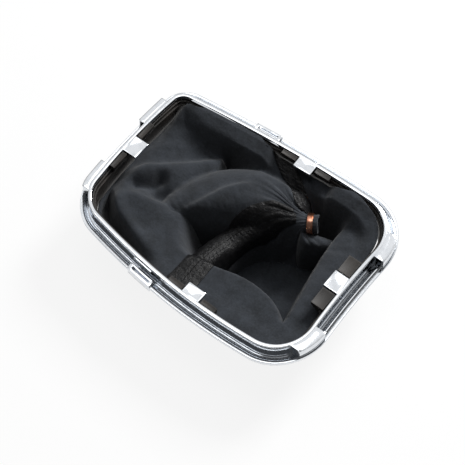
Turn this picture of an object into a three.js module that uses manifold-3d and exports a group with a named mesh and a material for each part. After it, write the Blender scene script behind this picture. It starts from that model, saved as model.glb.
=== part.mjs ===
// Gear lever gaiter, seen from its back: a chromed surround, the carrier frame clipped into it,
// and a two panel leather sock that hangs through the surround and lies crushed under it.
// Millimetres, +Z up. The part lies face down, X runs from the narrow end to the wide end,
// and -Y is the long side nearer the camera.

import * as THREE from 'three';
import { mergeVertices } from 'three/addons/utils/BufferGeometryUtils.js';
import Module from 'manifold-3d';

// Outline of the surround
const LENGTH = 172;
const NARROW_WIDTH = 106.4;
const WIDE_WIDTH = 124;
const NEAR_NARROW_RADIUS = 21.4;
const NEAR_WIDE_RADIUS = 30.6;
const FAR_WIDE_RADIUS = 32.8;
const FAR_NARROW_RADIUS = 13.5;
const LEAST_RADIUS = 5;
const NEAR_BOW = 9.4;
const FAR_BOW = 4.2;
const NARROW_CROWN = 3.1;
const WIDE_HOLLOW = 2.6;

// Section of the surround: a lip, a trough, an upright wall and the rounded face below
const LIP_HEIGHT = 38;
const WALL_RISE = 7.3;
const SIDE_RIM = 6.7;
const NARROW_RIM = 4.6;
const WIDE_RIM = 7.8;
const LIP_THICKNESS = 1.9;
const WALL_THICKNESS = 2.3;
const TROUGH_DEPTH = 4.6;
const FACE_DEPTH = 13;
const FACE_THICKNESS = 2.2;

// What is moulded on the surround
const CLIP_WIDTH = 12;
const CLIP_THICKNESS = 1.8;
const END_CLIP_REACH = 9.5;
const SIDE_CLIP_REACH = 7;
const SIDE_CLIP_X = 11.5;
const END_CLIP_Y = 1.5;
const CLIP_BARB = 0.9;
const PAD_OUTER_SHARE = 0.16;
const NARROW_PAD_FROM = 17.5;
const NARROW_PAD_TO = 38;
const WIDE_PAD_FROM = 28;
const WIDE_PAD_TO = 46;
const PAD_SLOT_WALL = 1.1;
const PAD_SLOT_DEPTH = 5;
const BLOCK_FROM_X = -30;
const BLOCK_TO_X = -12.5;
const BLOCK_RISE = 1.8;
const BLOCK_SHARE = 0.62;
const LEDGE_FROM_X = -30;
const LEDGE_TO_X = -16;
const LEDGE_DEPTH = 0.9;
const LEDGE_LOW = 3;
const LEDGE_HIGH = 5.6;
const BEAD_RADIUS = 1.5;
const BEAD_SHARE = 0.42;

// Carrier frame
const FIT_GAP = 0.3;
const CARRIER_THICKNESS = 2;
const CARRIER_DROP = 1.5;
const CARRIER_STEP = 2.2;
const END_LUG_LENGTH = 12;
const END_LUG_REACH = 8.5;
const SIDE_LUG_LENGTH = 10;
const SIDE_LUG_REACH = 3.4;
const LUG_GAP = 0.8;
const LUG_DROP = 0.5;
const NOTCH_WIDTH = 4;
const NOTCH_DEPTH = 2.5;

// Leather sock
const LEATHER = 1.1;
const SEAM_X = -2.5;
const SEAM_GAP = 0.7;
const SEAM_GAP_AT_NECK = 1.8;
const NECK = new THREE.Vector3(27.8, 26.4, -7.6);
const NECK_AXIS = new THREE.Vector3(0.86, 0.48, 0.1).normalize();
const NECK_RADIUS = 4.8;
const NECK_ROOT = 3;
const NECK_STUB = 8;
const NECK_REACH = 14;
const HEM_FLARE = 0.08;
const NECK_PLEATS = 18;
const PLEAT_HEIGHT = 0.2;
const TWIST = 1.05;

// The twist is eased round this direction from the neck, where the sock is longest
const TWIST_EASED = 0.7;
const TWIST_EASED_AT = 2.8;
const TWIST_EASED_BY = 2.2;

// Height of the leather's edge on the carrier, by side, from the lip
const EDGE_LOW = -10.8;
const EDGE_NEAR = -4.5;
const EDGE_WIDE = -3;
const EDGE_NARROW = -1.4;
const EDGE_FAR = 6.2;
const EDGE_AT_LUGS = -0.1;
const EDGE_NARROW_FROM = { low: -24, high: -17 };
const EDGE_NARROW_TO = { low: -74, high: -60 };
const EDGE_NEAR_FROM = { low: -28, high: -14 };
const EDGE_NEAR_SIDE = { low: -46, high: -30 };
const EDGE_WIDE_FROM = { low: 50, high: 70 };
const EDGE_FAR_SIDE = { low: 20, high: 44 };
const EDGE_FAR_FALL = { low: 56, high: 74 };

// The edge laps over the carrier on the far side, except at the lugs
const LAP_SIDE = { low: 36, high: 46 };
const LAP_FROM = { low: -66, high: -56 };
const LAP_TO = { low: 48, high: 58 };
const LAP_FADE = 8;
const EDGE_STEP = 0.8;

// Shelf of leather that goes round the pit, from the lip
const SHELF_NARROW = -1;
const SHELF_FALL = 0.23;
const SHELF_FALL_FROM = -76;
const SHELF_FALL_TO = -33;
const SHELF_NEAR = -5.2;
const SHELF_WIDE = -4;
const SHELF_NEAR_SIDE = { low: -26, high: -8 };
const SHELF_NEAR_FROM = { low: -60, high: -30 };
const SHELF_WIDE_FROM = { low: 36, high: 60 };

// Rim of the pit where the sock goes down, with the width over which it falls
const PIT = [
  [-74, 56], [-65, 45], [-57, 41.5], [-42, 41.5], [-33, 33], [-32, 4], [-29, -12], [-25, -23], [-14, -32],
  [5, -28], [28, -21.5], [49, -25], [61, -36], [58, -18], [54, 2], [50.5, 26], [51, 43], [57, 51], [52, 66], [-70, 70],
];
const PIT_FALL = 9;
const PIT_FALL_NARROW = 26;
const PIT_FALL_CORNER = 5;
const PIT_ROUNDING = 0.15;
const FALL_NARROW_FROM = { low: -30, high: 0 };
const FALL_NARROW_SIDE = { low: -10, high: 10 };
const FALL_CORNER_FROM = { low: -45, high: -30 };
const FALL_CORNER_SIDE = { low: 25, high: 35 };

// The roll of leather that comes back up out of the pit and ends at the neck:
// places along it, x and y, the height of its crest, and its spread to the right and to the left
const ROLL = [
  [-42, -14, -9, 4, 8], [-31, 0, -3, 13, 22], [-20, 14, 0, 20, 25], [-9, 24, 2, 24, 24], [4, 31, 2, 25, 22],
  [15, 32, 0, 22, 17],
];
const ROLL_DROP = 34;
const ROLL_BLEND = 4;

// Ridges stand up and creases are cut in, each along a line
const FOLDS = [
  { line: [[-80, -15], [-57, 6], [-33, 33]], height: 3.5, near: 9, far: 3 },
  { line: [[-74, 3], [-56, 18], [-40, 37]], height: -3, near: 7, far: 9 },
  { line: [[-63, -13], [-56, -8], [-54, -3]], height: -5, near: 4, far: 5 },
  { line: [[-51, -10], [-43, -7]], height: -6, near: 4, far: 6 },
  { line: [[-58, -20], [-45, -16], [-29, -11]], height: 3.5, near: 10, far: 3 },
];

// The gutter between the leather and the carrier at the near corner of the narrow end
const GUTTER = [[-90, -13], [-77, -16], [-72, -22], [-67, -28], [-61, -33], [-52, -36], [-44, -39], [-33, -43], [-26, -47],
  [-22, -60]];
const GUTTER_DEPTH = 22;
const GUTTER_WIDTH = 5;
const GUTTER_RIDGE = 2.5;
const GUTTER_RIDGE_WIDTH = 4;

// How far in from the edge the leather reaches its own shape
const EDGE_BLEND = 12;
const EDGE_BLEND_STEEP = 5;
const STEEP_SIDE = { low: 30, high: 48 };

// Neck ring
const RING_WIDTH = 3.6;
const RING_THICKNESS = 0.6;

// How finely the curves are divided
const ARC_STEPS = 8;
const SIDE_STEPS = 8;
const SOCK_ROWS = 27;
const TUBE_ROWS = 4;
const SOCK_COLUMNS = 34;
const ROW_SPREAD = 7;

const wasm = await Module();
wasm.setup();

const clamp01 = (value) => Math.min(Math.max(value, 0), 1);
const mix = (a, b, share) => a + (b - a) * share;

function ease(from, to, value) {
  const share = clamp01((value - from) / (to - from));
  return share * share * (3 - 2 * share);
}

function softMax(a, b, blend) {
  const overlap = Math.max(blend - Math.abs(a - b), 0) / blend;
  return Math.max(a, b) + overlap * overlap * blend * 0.25;
}

// A closed outline: share runs over the rim from the lip, 0, to the wall's outer face, 1,
// and extra is measured inwards from there
function rawOutline(share, extra) {
  const side = share * SIDE_RIM + extra;
  const narrow = share * NARROW_RIM + extra;
  const wide = share * WIDE_RIM + extra;
  const taper = (WIDE_WIDTH - NARROW_WIDTH) / 2 / LENGTH;
  const middle = (WIDE_WIDTH + NARROW_WIDTH) / 4;
  const lean = Math.hypot(1, taper);
  const left = -LENGTH / 2 + narrow;
  const right = LENGTH / 2 - wide;
  const half = (x) => middle + taper * x - side * lean;
  const corners = [
    { x: left, y: -half(left), radius: NEAR_NARROW_RADIUS - (side + narrow) / 2 },
    { x: right, y: -half(right), radius: NEAR_WIDE_RADIUS - (side + wide) / 2 },
    { x: right, y: half(right), radius: FAR_WIDE_RADIUS - (side + wide) / 2 },
    { x: left, y: half(left), radius: FAR_NARROW_RADIUS - (side + narrow) / 2 },
  ];
  const arcs = corners.map((corner, i) => roundCorner(corners[(i + 3) % 4], corner, corners[(i + 1) % 4]));
  const points = [];
  arcs.forEach((arc, i) => {
    points.push(...arc);
    const from = arc[arc.length - 1];
    const to = arcs[(i + 1) % 4][0];
    for (let k = 1; k < SIDE_STEPS; k += 1) {
      points.push(from.clone().lerp(to, k / SIDE_STEPS));
    }
  });
  const ownHalf = middle - side;
  const ownLength = LENGTH / 2 - (narrow + wide) / 2;
  return points.map((p) => {
    const bow = p.y < 0 ? NEAR_BOW : FAR_BOW;
    const crown = p.x < 0 ? NARROW_CROWN : -WIDE_HOLLOW;
    const acrossShare = Math.min(Math.abs(p.y) / ownHalf, 1);
    const alongShare = Math.min(Math.abs(p.x) / ownLength, 1);
    const y = p.y + Math.sign(p.y) * acrossShare * bow * (1 - (2 * p.x / LENGTH) ** 2);
    const x = p.x + Math.sign(p.x) * alongShare ** 2 * crown * (1 - acrossShare ** 2);
    return new THREE.Vector2(x, y);
  });
}

function roundCorner(before, corner, after) {
  const at = new THREE.Vector2(corner.x, corner.y);
  const radius = Math.max(corner.radius, LEAST_RADIUS);
  const u = new THREE.Vector2(before.x, before.y).sub(at).normalize();
  const v = new THREE.Vector2(after.x, after.y).sub(at).normalize();
  const halfAngle = Math.acos(u.dot(v)) / 2;
  const centre = at.clone().addScaledVector(u.clone().add(v).normalize(), radius / Math.sin(halfAngle));
  const start = at.clone().addScaledVector(u, radius / Math.tan(halfAngle)).sub(centre);
  const turn = Math.PI - 2 * halfAngle;
  const points = [];
  for (let k = 0; k <= ARC_STEPS; k += 1) {
    points.push(start.clone().rotateAround(new THREE.Vector2(), turn * k / ARC_STEPS).add(centre));
  }
  return points;
}

const outlineBox = new THREE.Box2().setFromPoints(rawOutline(0, 0));
const outlineCentre = outlineBox.getCenter(new THREE.Vector2());

function outline(share, extra = 0) {
  return rawOutline(share, extra).map((p) => p.sub(outlineCentre));
}

// Closed solids
function geometryFrom(vertices, faces) {
  const geometry = new THREE.BufferGeometry();
  geometry.setAttribute('position', new THREE.Float32BufferAttribute(vertices.flat(), 3));
  geometry.setIndex(faces.flat());
  return geometry;
}

function signedVolume(vertices, faces) {
  const a = new THREE.Vector3();
  const b = new THREE.Vector3();
  const c = new THREE.Vector3();
  return faces.reduce((sum, face) => {
    a.fromArray(vertices[face[0]]);
    b.fromArray(vertices[face[1]]);
    c.fromArray(vertices[face[2]]);
    return sum + a.dot(b.cross(c)) / 6;
  }, 0);
}

function faceOutwards(vertices, faces) {
  const turned = signedVolume(vertices, faces) < 0;
  return geometryFrom(vertices, turned ? faces.map(([a, b, c]) => [a, c, b]) : faces);
}

function sweepRing(section) {
  const loops = section.map(([share, extra, z]) => outline(share, extra).map((p) => [p.x, p.y, z + LIP_HEIGHT]));
  const count = loops[0].length;
  const vertices = loops.flat();
  const faces = [];
  for (let j = 0; j < loops.length; j += 1) {
    const next = (j + 1) % loops.length;
    for (let i = 0; i < count; i += 1) {
      const along = (i + 1) % count;
      const [a, b] = [j * count + i, j * count + along];
      const [c, d] = [next * count + along, next * count + i];
      faces.push([a, b, c], [a, c, d]);
    }
  }
  return faceOutwards(vertices, faces);
}

function toSolid(geometry) {
  const bare = geometry.clone();
  bare.deleteAttribute('normal');
  bare.deleteAttribute('uv');
  const merged = mergeVertices(bare, 1e-4);
  const vertProperties = new Float32Array(merged.attributes.position.array);
  const triVerts = new Uint32Array(merged.index.array);
  return new wasm.Manifold(new wasm.Mesh({ numProp: 3, vertProperties, triVerts }));
}

function toGeometry(solid) {
  const mesh = solid.getMesh();
  const geometry = new THREE.BufferGeometry();
  geometry.setAttribute('position', new THREE.Float32BufferAttribute(mesh.vertProperties, 3));
  geometry.setIndex(Array.from(mesh.triVerts));
  return geometry;
}

function boxSolid(fromX, toX, fromY, toY, fromZ, toZ) {
  const box = new THREE.BoxGeometry(toX - fromX, toY - fromY, toZ - fromZ);
  box.translate((fromX + toX) / 2, (fromY + toY) / 2, (fromZ + toZ) / 2);
  return toSolid(box);
}

// Where the outline meets a line across the part, with the direction inwards there
function edgeAt(loop, axis, value, sign) {
  const other = axis === 'x' ? 'y' : 'x';
  for (let i = 0; i < loop.length; i += 1) {
    const a = loop[i];
    const b = loop[(i + 1) % loop.length];
    const between = (a[axis] - value) * (b[axis] - value) <= 0 && a[axis] !== b[axis];
    if (between && Math.sign(a[other]) === sign) {
      const point = a.clone().lerp(b, (value - a[axis]) / (b[axis] - a[axis]));
      const tangent = b.clone().sub(a).normalize();
      return { point, tangent, inwards: new THREE.Vector2(-tangent.y, tangent.x) };
    }
  }
  throw new Error(`the outline has no edge at ${axis} ${value}`);
}

// The four places where the surround clips over the carrier
const wallLoop = outline(1);
const clipSeats = [
  { seat: edgeAt(wallLoop, 'x', SIDE_CLIP_X, -1), reach: SIDE_CLIP_REACH, side: true },
  { seat: edgeAt(wallLoop, 'x', SIDE_CLIP_X, 1), reach: SIDE_CLIP_REACH, side: true },
  { seat: edgeAt(wallLoop, 'y', END_CLIP_Y, -1), reach: END_CLIP_REACH, side: false },
  { seat: edgeAt(wallLoop, 'y', END_CLIP_Y, 1), reach: END_CLIP_REACH, side: false },
];

// A profile in the plane across the wall, extruded along the wall
function acrossWall(seat, profile, width, shift = 0) {
  const shape = new THREE.Shape(profile.map(([inwards, z]) => new THREE.Vector2(inwards, z)));
  const geometry = new THREE.ExtrudeGeometry(shape, { depth: width, bevelEnabled: false });
  geometry.translate(0, 0, -width / 2 + shift);
  const inwards = new THREE.Vector3(seat.inwards.x, seat.inwards.y, 0);
  const up = new THREE.Vector3(0, 0, 1);
  const along = new THREE.Vector3().crossVectors(inwards, up);
  geometry.applyMatrix4(new THREE.Matrix4().makeBasis(inwards, up, along));
  geometry.translate(seat.point.x, seat.point.y, LIP_HEIGHT);
  return toSolid(geometry);
}

function clipSolid({ seat, reach }) {
  const under = WALL_RISE - CLIP_THICKNESS;
  const profile = [
    [0, WALL_RISE],
    [0, under - 1],
    [WALL_THICKNESS, under - 1],
    [WALL_THICKNESS + FIT_GAP, under],
    [WALL_THICKNESS + reach - 1.4, under],
    [WALL_THICKNESS + reach - 1, under - CLIP_BARB],
    [WALL_THICKNESS + reach, under + 0.4],
    [WALL_THICKNESS + reach, WALL_RISE - 0.4],
    [WALL_THICKNESS + reach - 0.4, WALL_RISE],
  ];
  return acrossWall(seat, profile, CLIP_WIDTH);
}

// Surround
function surroundRing() {
  const innerEdge = WALL_THICKNESS + FIT_GAP + CARRIER_THICKNESS;
  const flangeTop = -FACE_DEPTH + FACE_THICKNESS;
  return toSolid(sweepRing([
    [0, 0.35, 0],
    [0, LIP_THICKNESS - 0.3, 0],
    [0, LIP_THICKNESS, -0.4],
    [0.42, 0.6, -TROUGH_DEPTH * 0.72],
    [0.7, 0.4, -TROUGH_DEPTH],
    [1, 0, -TROUGH_DEPTH],
    [1, 0, WALL_RISE - 0.3],
    [1, 0.3, WALL_RISE],
    [1, WALL_THICKNESS - 0.3, WALL_RISE],
    [1, WALL_THICKNESS, WALL_RISE - 0.3],
    [1, WALL_THICKNESS, flangeTop],
    [1, innerEdge - 0.4, flangeTop],
    [1, innerEdge, flangeTop - 0.5],
    [1, innerEdge, -FACE_DEPTH + 0.7],
    [1, innerEdge - 0.8, -FACE_DEPTH],
    [1, 0, -FACE_DEPTH + 0.3],
    [0.62, 0, -FACE_DEPTH * 0.8],
    [0.25, 0, -FACE_DEPTH * 0.46],
    [0, 0.25, -FACE_DEPTH * 0.17],
    [0, 0, -FACE_DEPTH * 0.06],
  ]));
}

function rimBand(fromShare, toShare, low, high, extra = 0) {
  return toSolid(sweepRing([
    [fromShare, 0, low],
    [fromShare, 0, high],
    [toShare, extra, high],
    [toShare, extra, low],
  ]));
}

function padSolids() {
  const reach = LENGTH;
  const low = LIP_HEIGHT - TROUGH_DEPTH - 1;
  const high = LIP_HEIGHT + WALL_RISE + 1;
  const band = rimBand(PAD_OUTER_SHARE, 1, -TROUGH_DEPTH - 0.5, WALL_RISE, 0.4);
  const slotBand = rimBand(PAD_OUTER_SHARE + 0.2, 0.84, -TROUGH_DEPTH + PAD_SLOT_WALL, WALL_RISE - PAD_SLOT_WALL);
  const ends = [
    { from: NARROW_PAD_FROM, to: NARROW_PAD_TO, xFrom: -reach, xTo: -LENGTH / 4 },
    { from: WIDE_PAD_FROM, to: WIDE_PAD_TO, xFrom: LENGTH / 4, xTo: reach },
  ];
  const pads = [];
  for (const end of ends) {
    for (const sign of [-1, 1]) {
      const [a, b] = [sign * end.from, sign * end.to].sort((p, q) => p - q);
      const whole = band.intersect(boxSolid(end.xFrom, end.xTo, a, b, low, high));
      const slotAt = sign > 0 ? [a - 1, a + PAD_SLOT_DEPTH] : [b - PAD_SLOT_DEPTH, b + 1];
      const slot = slotBand.intersect(boxSolid(end.xFrom, end.xTo, slotAt[0], slotAt[1], low, high));
      pads.push(whole.subtract(slot));
    }
  }
  return pads;
}

function blockSolids() {
  const band = rimBand(-0.02, BLOCK_SHARE, -TROUGH_DEPTH, BLOCK_RISE);
  const ledge = toSolid(sweepRing([
    [1, 0.5, LEDGE_LOW],
    [1, -LEDGE_DEPTH, LEDGE_LOW + LEDGE_DEPTH / 2],
    [1, -LEDGE_DEPTH, LEDGE_HIGH],
    [1, 0.5, LEDGE_HIGH],
  ]));
  const solids = [];
  for (const [yFrom, yTo] of [[-LENGTH, 0], [0, LENGTH]]) {
    solids.push(band.intersect(boxSolid(BLOCK_FROM_X, BLOCK_TO_X, yFrom, yTo, 0, LENGTH)));
    solids.push(ledge.intersect(boxSolid(LEDGE_FROM_X, LEDGE_TO_X, yFrom, yTo, 0, LENGTH)));
  }
  return solids;
}

function beadSolid() {
  const section = [];
  for (let k = 0; k <= 6; k += 1) {
    const angle = Math.PI * k / 6;
    section.push([BEAD_SHARE, BEAD_RADIUS * Math.cos(angle), BEAD_RADIUS * Math.sin(angle) - 0.6]);
  }
  section.push([BEAD_SHARE, -BEAD_RADIUS, -TROUGH_DEPTH * 0.7 - 0.6], [BEAD_SHARE, BEAD_RADIUS, -TROUGH_DEPTH - 0.2]);
  const ring = toSolid(sweepRing(section));
  return ring.intersect(boxSolid(LENGTH / 4, LENGTH, -WIDE_PAD_FROM - 1, WIDE_PAD_FROM + 1, 0, LENGTH));
}

function surroundGeometry() {
  const added = [...padSolids(), ...blockSolids(), beadSolid(), ...clipSeats.map(clipSolid)];
  return toGeometry(added.reduce((whole, solid) => whole.add(solid), surroundRing()));
}

// Carrier frame
function carrierRing() {
  const outer = WALL_THICKNESS + FIT_GAP;
  const inner = outer + CARRIER_THICKNESS;
  const top = WALL_RISE - CLIP_THICKNESS - CARRIER_DROP;
  const bottom = -FACE_DEPTH + FACE_THICKNESS + FIT_GAP;
  return toSolid(sweepRing([
    [1, outer, top - 0.4],
    [1, outer + 0.3, top],
    [1, outer + CARRIER_THICKNESS * 0.45, top],
    [1, outer + CARRIER_THICKNESS * 0.55, top - CARRIER_STEP],
    [1, inner, top - CARRIER_STEP],
    [1, inner, bottom],
    [1, outer, bottom],
  ]));
}

function lugSolids() {
  const solids = [];
  const outer = WALL_THICKNESS + FIT_GAP;
  const top = WALL_RISE - LUG_DROP;
  for (const { seat, side } of clipSeats) {
    const length = side ? SIDE_LUG_LENGTH : END_LUG_LENGTH;
    const reach = side ? SIDE_LUG_REACH : END_LUG_REACH;
    const narrowEnd = !side && seat.point.x < 0;
    const depth = narrowEnd ? SIDE_LUG_REACH : reach;
    const profile = [
      [outer + 0.15, top - 0.4],
      [outer + 0.15, -1],
      [outer + CARRIER_THICKNESS, -1],
      [outer + depth, top - 2.4],
      [outer + depth, top - 0.4],
      [outer + depth - 0.4, top],
      [outer + 0.5, top],
    ];
    for (const sign of [-1, 1]) {
      const shift = sign * (CLIP_WIDTH / 2 + LUG_GAP + length / 2);
      solids.push(acrossWall(seat, profile, length, shift));
    }
  }
  return solids;
}

function carrierGeometry() {
  const wall = toSolid(sweepRing([
    [1, WALL_THICKNESS + FIT_GAP, -2],
    [1, WALL_THICKNESS + FIT_GAP, WALL_RISE],
    [1, WALL_THICKNESS + FIT_GAP + END_LUG_REACH + 2, WALL_RISE],
    [1, WALL_THICKNESS + FIT_GAP + END_LUG_REACH + 2, -2],
  ]));
  let carrier = carrierRing();
  for (const lug of lugSolids()) {
    carrier = carrier.add(lug.intersect(wall));
  }
  const top = WALL_RISE - CLIP_THICKNESS - CARRIER_DROP;
  for (const { seat } of clipSeats) {
    for (const sign of [-1, 1]) {
      const shift = sign * (CLIP_WIDTH / 2 - NOTCH_WIDTH / 2 + LUG_GAP);
      const profile = [
        [WALL_THICKNESS, top + 1],
        [WALL_THICKNESS, top - NOTCH_DEPTH],
        [WALL_THICKNESS + CARRIER_THICKNESS * 3, top - NOTCH_DEPTH],
        [WALL_THICKNESS + CARRIER_THICKNESS * 3, top + 1],
      ];
      carrier = carrier.subtract(acrossWall(seat, profile, NOTCH_WIDTH, shift));
    }
  }
  return toGeometry(carrier);
}

// Leather sock. Heights in this section are measured from the lip.
const FLOOR_BLEND = 6;
const FLOOR = LEATHER / 2 - LIP_HEIGHT;
const sockExtra = WALL_THICKNESS + FIT_GAP + CARRIER_THICKNESS + FIT_GAP + LEATHER / 2;
const sockLoop = outline(1, sockExtra);

const lugSpan = CLIP_WIDTH / 2 + LUG_GAP + SIDE_LUG_LENGTH;
const within = (zone, value) => ease(zone.low, zone.high, value);

// 1 beside the far clip and its lugs, 0 further than the fade from them
function atLugs(x, fade, margin) {
  const away = Math.abs(x - SIDE_CLIP_X) - lugSpan - margin;
  return 1 - ease(0, fade, away);
}

function edgeHeight(x, y) {
  const far = within(EDGE_FAR_SIDE, y) * (1 - within(EDGE_FAR_FALL, x) / 2);
  const narrow = within(EDGE_NARROW_FROM, y) * (1 - within(EDGE_NARROW_TO, x));
  const near = within(EDGE_NEAR_FROM, x) * (1 - within(EDGE_NEAR_SIDE, y));
  const farHeight = mix(EDGE_FAR, EDGE_AT_LUGS, atLugs(x, LAP_FADE, LUG_GAP));
  const ownSide = mix(mix(mix(EDGE_LOW, EDGE_NEAR, near), EDGE_WIDE, within(EDGE_WIDE_FROM, x)), EDGE_NARROW, narrow);
  return mix(ownSide, farHeight, far);
}

function edgeLap({ x, y }) {
  const far = within(LAP_SIDE, y) * within(LAP_FROM, x) * (1 - within(LAP_TO, x));
  return (CARRIER_THICKNESS + FIT_GAP) * far * (1 - atLugs(x, LAP_FADE, LUG_GAP + LAP_FADE));
}

// A line of places with its corners cut off twice
function smoothLine(line, closed) {
  let places = line;
  for (let round = 0; round < 2; round += 1) {
    const next = [];
    for (let i = closed ? 0 : 1; i < places.length; i += 1) {
      const to = places[i];
      const from = places[(i + places.length - 1) % places.length];
      next.push(from.map((v, k) => mix(v, to[k], 0.25)), from.map((v, k) => mix(v, to[k], 0.75)));
    }
    places = closed ? next : [places[0], ...next, places[places.length - 1]];
  }
  return places;
}

// side is 1 squarely to the left of the segment and -1 squarely to its right
function segmentNear(x, y, from, to) {
  const dx = to[0] - from[0];
  const dy = to[1] - from[1];
  const along = clamp01(((x - from[0]) * dx + (y - from[1]) * dy) / (dx * dx + dy * dy));
  const distance = Math.hypot(x - from[0] - along * dx, y - from[1] - along * dy);
  const square = dx * (y - from[1]) - dy * (x - from[0]);
  return { along, distance, side: square / Math.max(Math.hypot(dx, dy) * distance, 1e-9) };
}

function lineNear(x, y, line) {
  let best = { distance: Infinity, side: 1 };
  for (let i = 1; i < line.length; i += 1) {
    const here = segmentNear(x, y, line[i - 1], line[i]);
    best = here.distance < best.distance - 1e-6 ? here : best;
  }
  return best;
}

// Distance inwards from a closed loop, less than nothing outside it
function depthInside(x, y, loop) {
  let least = Infinity;
  let inside = false;
  for (let i = 0; i < loop.length; i += 1) {
    const from = loop[i];
    const to = loop[(i + 1) % loop.length];
    least = Math.min(least, segmentNear(x, y, from, to).distance);
    const spans = (from[1] > y) !== (to[1] > y);
    if (spans && x < from[0] + (y - from[1]) * (to[0] - from[0]) / (to[1] - from[1])) {
      inside = !inside;
    }
  }
  return inside ? least : -least;
}

const rollLine = smoothLine(ROLL, false);
const pitLine = smoothLine(PIT, true);
const gutterLine = smoothLine(GUTTER, false);
const foldLines = FOLDS.map((fold) => ({ ...fold, line: smoothLine(fold.line, false) }));

function rollHeight(x, y) {
  let best = -Infinity;
  for (let i = 1; i < rollLine.length; i += 1) {
    const { along, distance, side } = segmentNear(x, y, rollLine[i - 1], rollLine[i]);
    const [, , crest, right, left] = rollLine[i - 1].map((v, k) => mix(v, rollLine[i][k], along));
    const half = mix(right, left, ease(-1, 1, side));
    best = Math.max(best, crest - ROLL_DROP * (distance / half) ** 3);
  }
  return best;
}

function shelfHeight(x, y) {
  const fall = SHELF_FALL * (Math.min(Math.max(x, SHELF_FALL_FROM), SHELF_FALL_TO) - SHELF_FALL_FROM);
  const near = (1 - within(SHELF_NEAR_SIDE, y)) * within(SHELF_NEAR_FROM, x);
  return mix(mix(SHELF_NARROW - fall, SHELF_NEAR, near), SHELF_WIDE, within(SHELF_WIDE_FROM, x));
}

function pitShare(x, y) {
  const narrow = (1 - within(FALL_NARROW_FROM, x)) * (1 - within(FALL_NARROW_SIDE, y));
  const corner = (1 - within(FALL_CORNER_FROM, x)) * within(FALL_CORNER_SIDE, y);
  const fall = mix(mix(PIT_FALL, PIT_FALL_NARROW, narrow), PIT_FALL_CORNER, corner);
  return ease(-PIT_ROUNDING, 1, depthInside(x, y, pitLine) / fall);
}

const sockBorder = sockLoop.map((p) => [p.x, p.y]);

function sockHeight(x, y) {
  let z = mix(shelfHeight(x, y), FLOOR - FLOOR_BLEND, pitShare(x, y));
  for (const { line, height, near, far } of foldLines) {
    const { distance, side } = lineNear(x, y, line);
    z += height * Math.exp(-((distance / mix(near, far, ease(-1, 1, side))) ** 2));
  }
  const edging = lineNear(x, y, gutterLine);
  const gutter = edging.distance * Math.sign(edging.side);
  z -= GUTTER_DEPTH * ease(0, GUTTER_WIDTH, -gutter);
  z += GUTTER_RIDGE * Math.exp(-(((gutter - 1) / GUTTER_RIDGE_WIDTH) ** 2));
  z = softMax(softMax(z, rollHeight(x, y), ROLL_BLEND), FLOOR, FLOOR_BLEND);
  const steep = Math.max(within(STEEP_SIDE, y), ease(0, GUTTER_WIDTH, -gutter));
  const inset = Math.max(depthInside(x, y, sockBorder), 0);
  return mix(edgeHeight(x, y), z, ease(0, mix(EDGE_BLEND, EDGE_BLEND_STEEP, steep), inset));
}

function seamedLoop(loop, seamX) {
  const closed = [...loop, loop[0]];
  const lengths = [0];
  for (let i = 1; i < closed.length; i += 1) {
    lengths.push(lengths[i - 1] + closed[i].distanceTo(closed[i - 1]));
  }
  const at = (s) => {
    const total = lengths[lengths.length - 1];
    const wrapped = ((s % total) + total) % total;
    let i = 1;
    while (lengths[i] < wrapped) {
      i += 1;
    }
    return closed[i - 1].clone().lerp(closed[i], (wrapped - lengths[i - 1]) / (lengths[i] - lengths[i - 1]));
  };
  const crossing = (sign) => {
    for (let i = 1; i < closed.length; i += 1) {
      const [a, b] = [closed[i - 1], closed[i]];
      if (Math.sign(a.y) === sign && (a.x - seamX) * (b.x - seamX) <= 0) {
        return lengths[i - 1] + (seamX - a.x) / (b.x - a.x) * (lengths[i] - lengths[i - 1]);
      }
    }
    throw new Error('the sock has no seam there');
  };
  const near = crossing(-1);
  const far = crossing(1);
  const total = lengths[lengths.length - 1];
  return { at, near, far, total };
}

const track = seamedLoop(sockLoop, SEAM_X);

// Share of the way down where the bag ends and the tube of the neck begins
const TUBE_FROM = 0.88;

function lappedEdge(s) {
  const edge = track.at(s);
  const tangent = track.at(s + 0.5).sub(track.at(s - 0.5)).normalize();
  return edge.clone().addScaledVector(new THREE.Vector2(tangent.y, -tangent.x), edgeLap(edge));
}

// Place on the sock: s is the length round its edge, down runs from the carrier, 0, to the hem, 1
function sockPoint(s, down) {
  const edge = lappedEdge(s);
  const reach = Math.hypot(edge.x - NECK.x, edge.y - NECK.y);
  const share = Math.min(down / TUBE_FROM, 1);
  const radius = mix(reach, NECK_RADIUS, share ** 0.95);
  const angle = Math.atan2(edge.y - NECK.y, edge.x - NECK.x);
  const eased = TWIST_EASED * Math.exp(-TWIST_EASED_BY * (1 - Math.cos(angle - TWIST_EASED_AT)));
  const turn = angle - TWIST * (1 - eased) * (1 - radius / reach) ** 1.5;
  if (down >= TUBE_FROM) {
    return tubePoint(turn, (down - TUBE_FROM) / (1 - TUBE_FROM));
  }
  const x = NECK.x + Math.cos(turn) * radius;
  const y = NECK.y + Math.sin(turn) * radius;
  const onBag = new THREE.Vector3(x, y, sockHeight(x, y));
  return onBag.lerp(tubePoint(turn, 0), 1 - ease(NECK_RADIUS, NECK_REACH, radius));
}

const tubeAcross = new THREE.Vector3().crossVectors(NECK_AXIS, new THREE.Vector3(0, 0, 1)).normalize();
const tubeUp = new THREE.Vector3().crossVectors(tubeAcross, NECK_AXIS);

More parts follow.
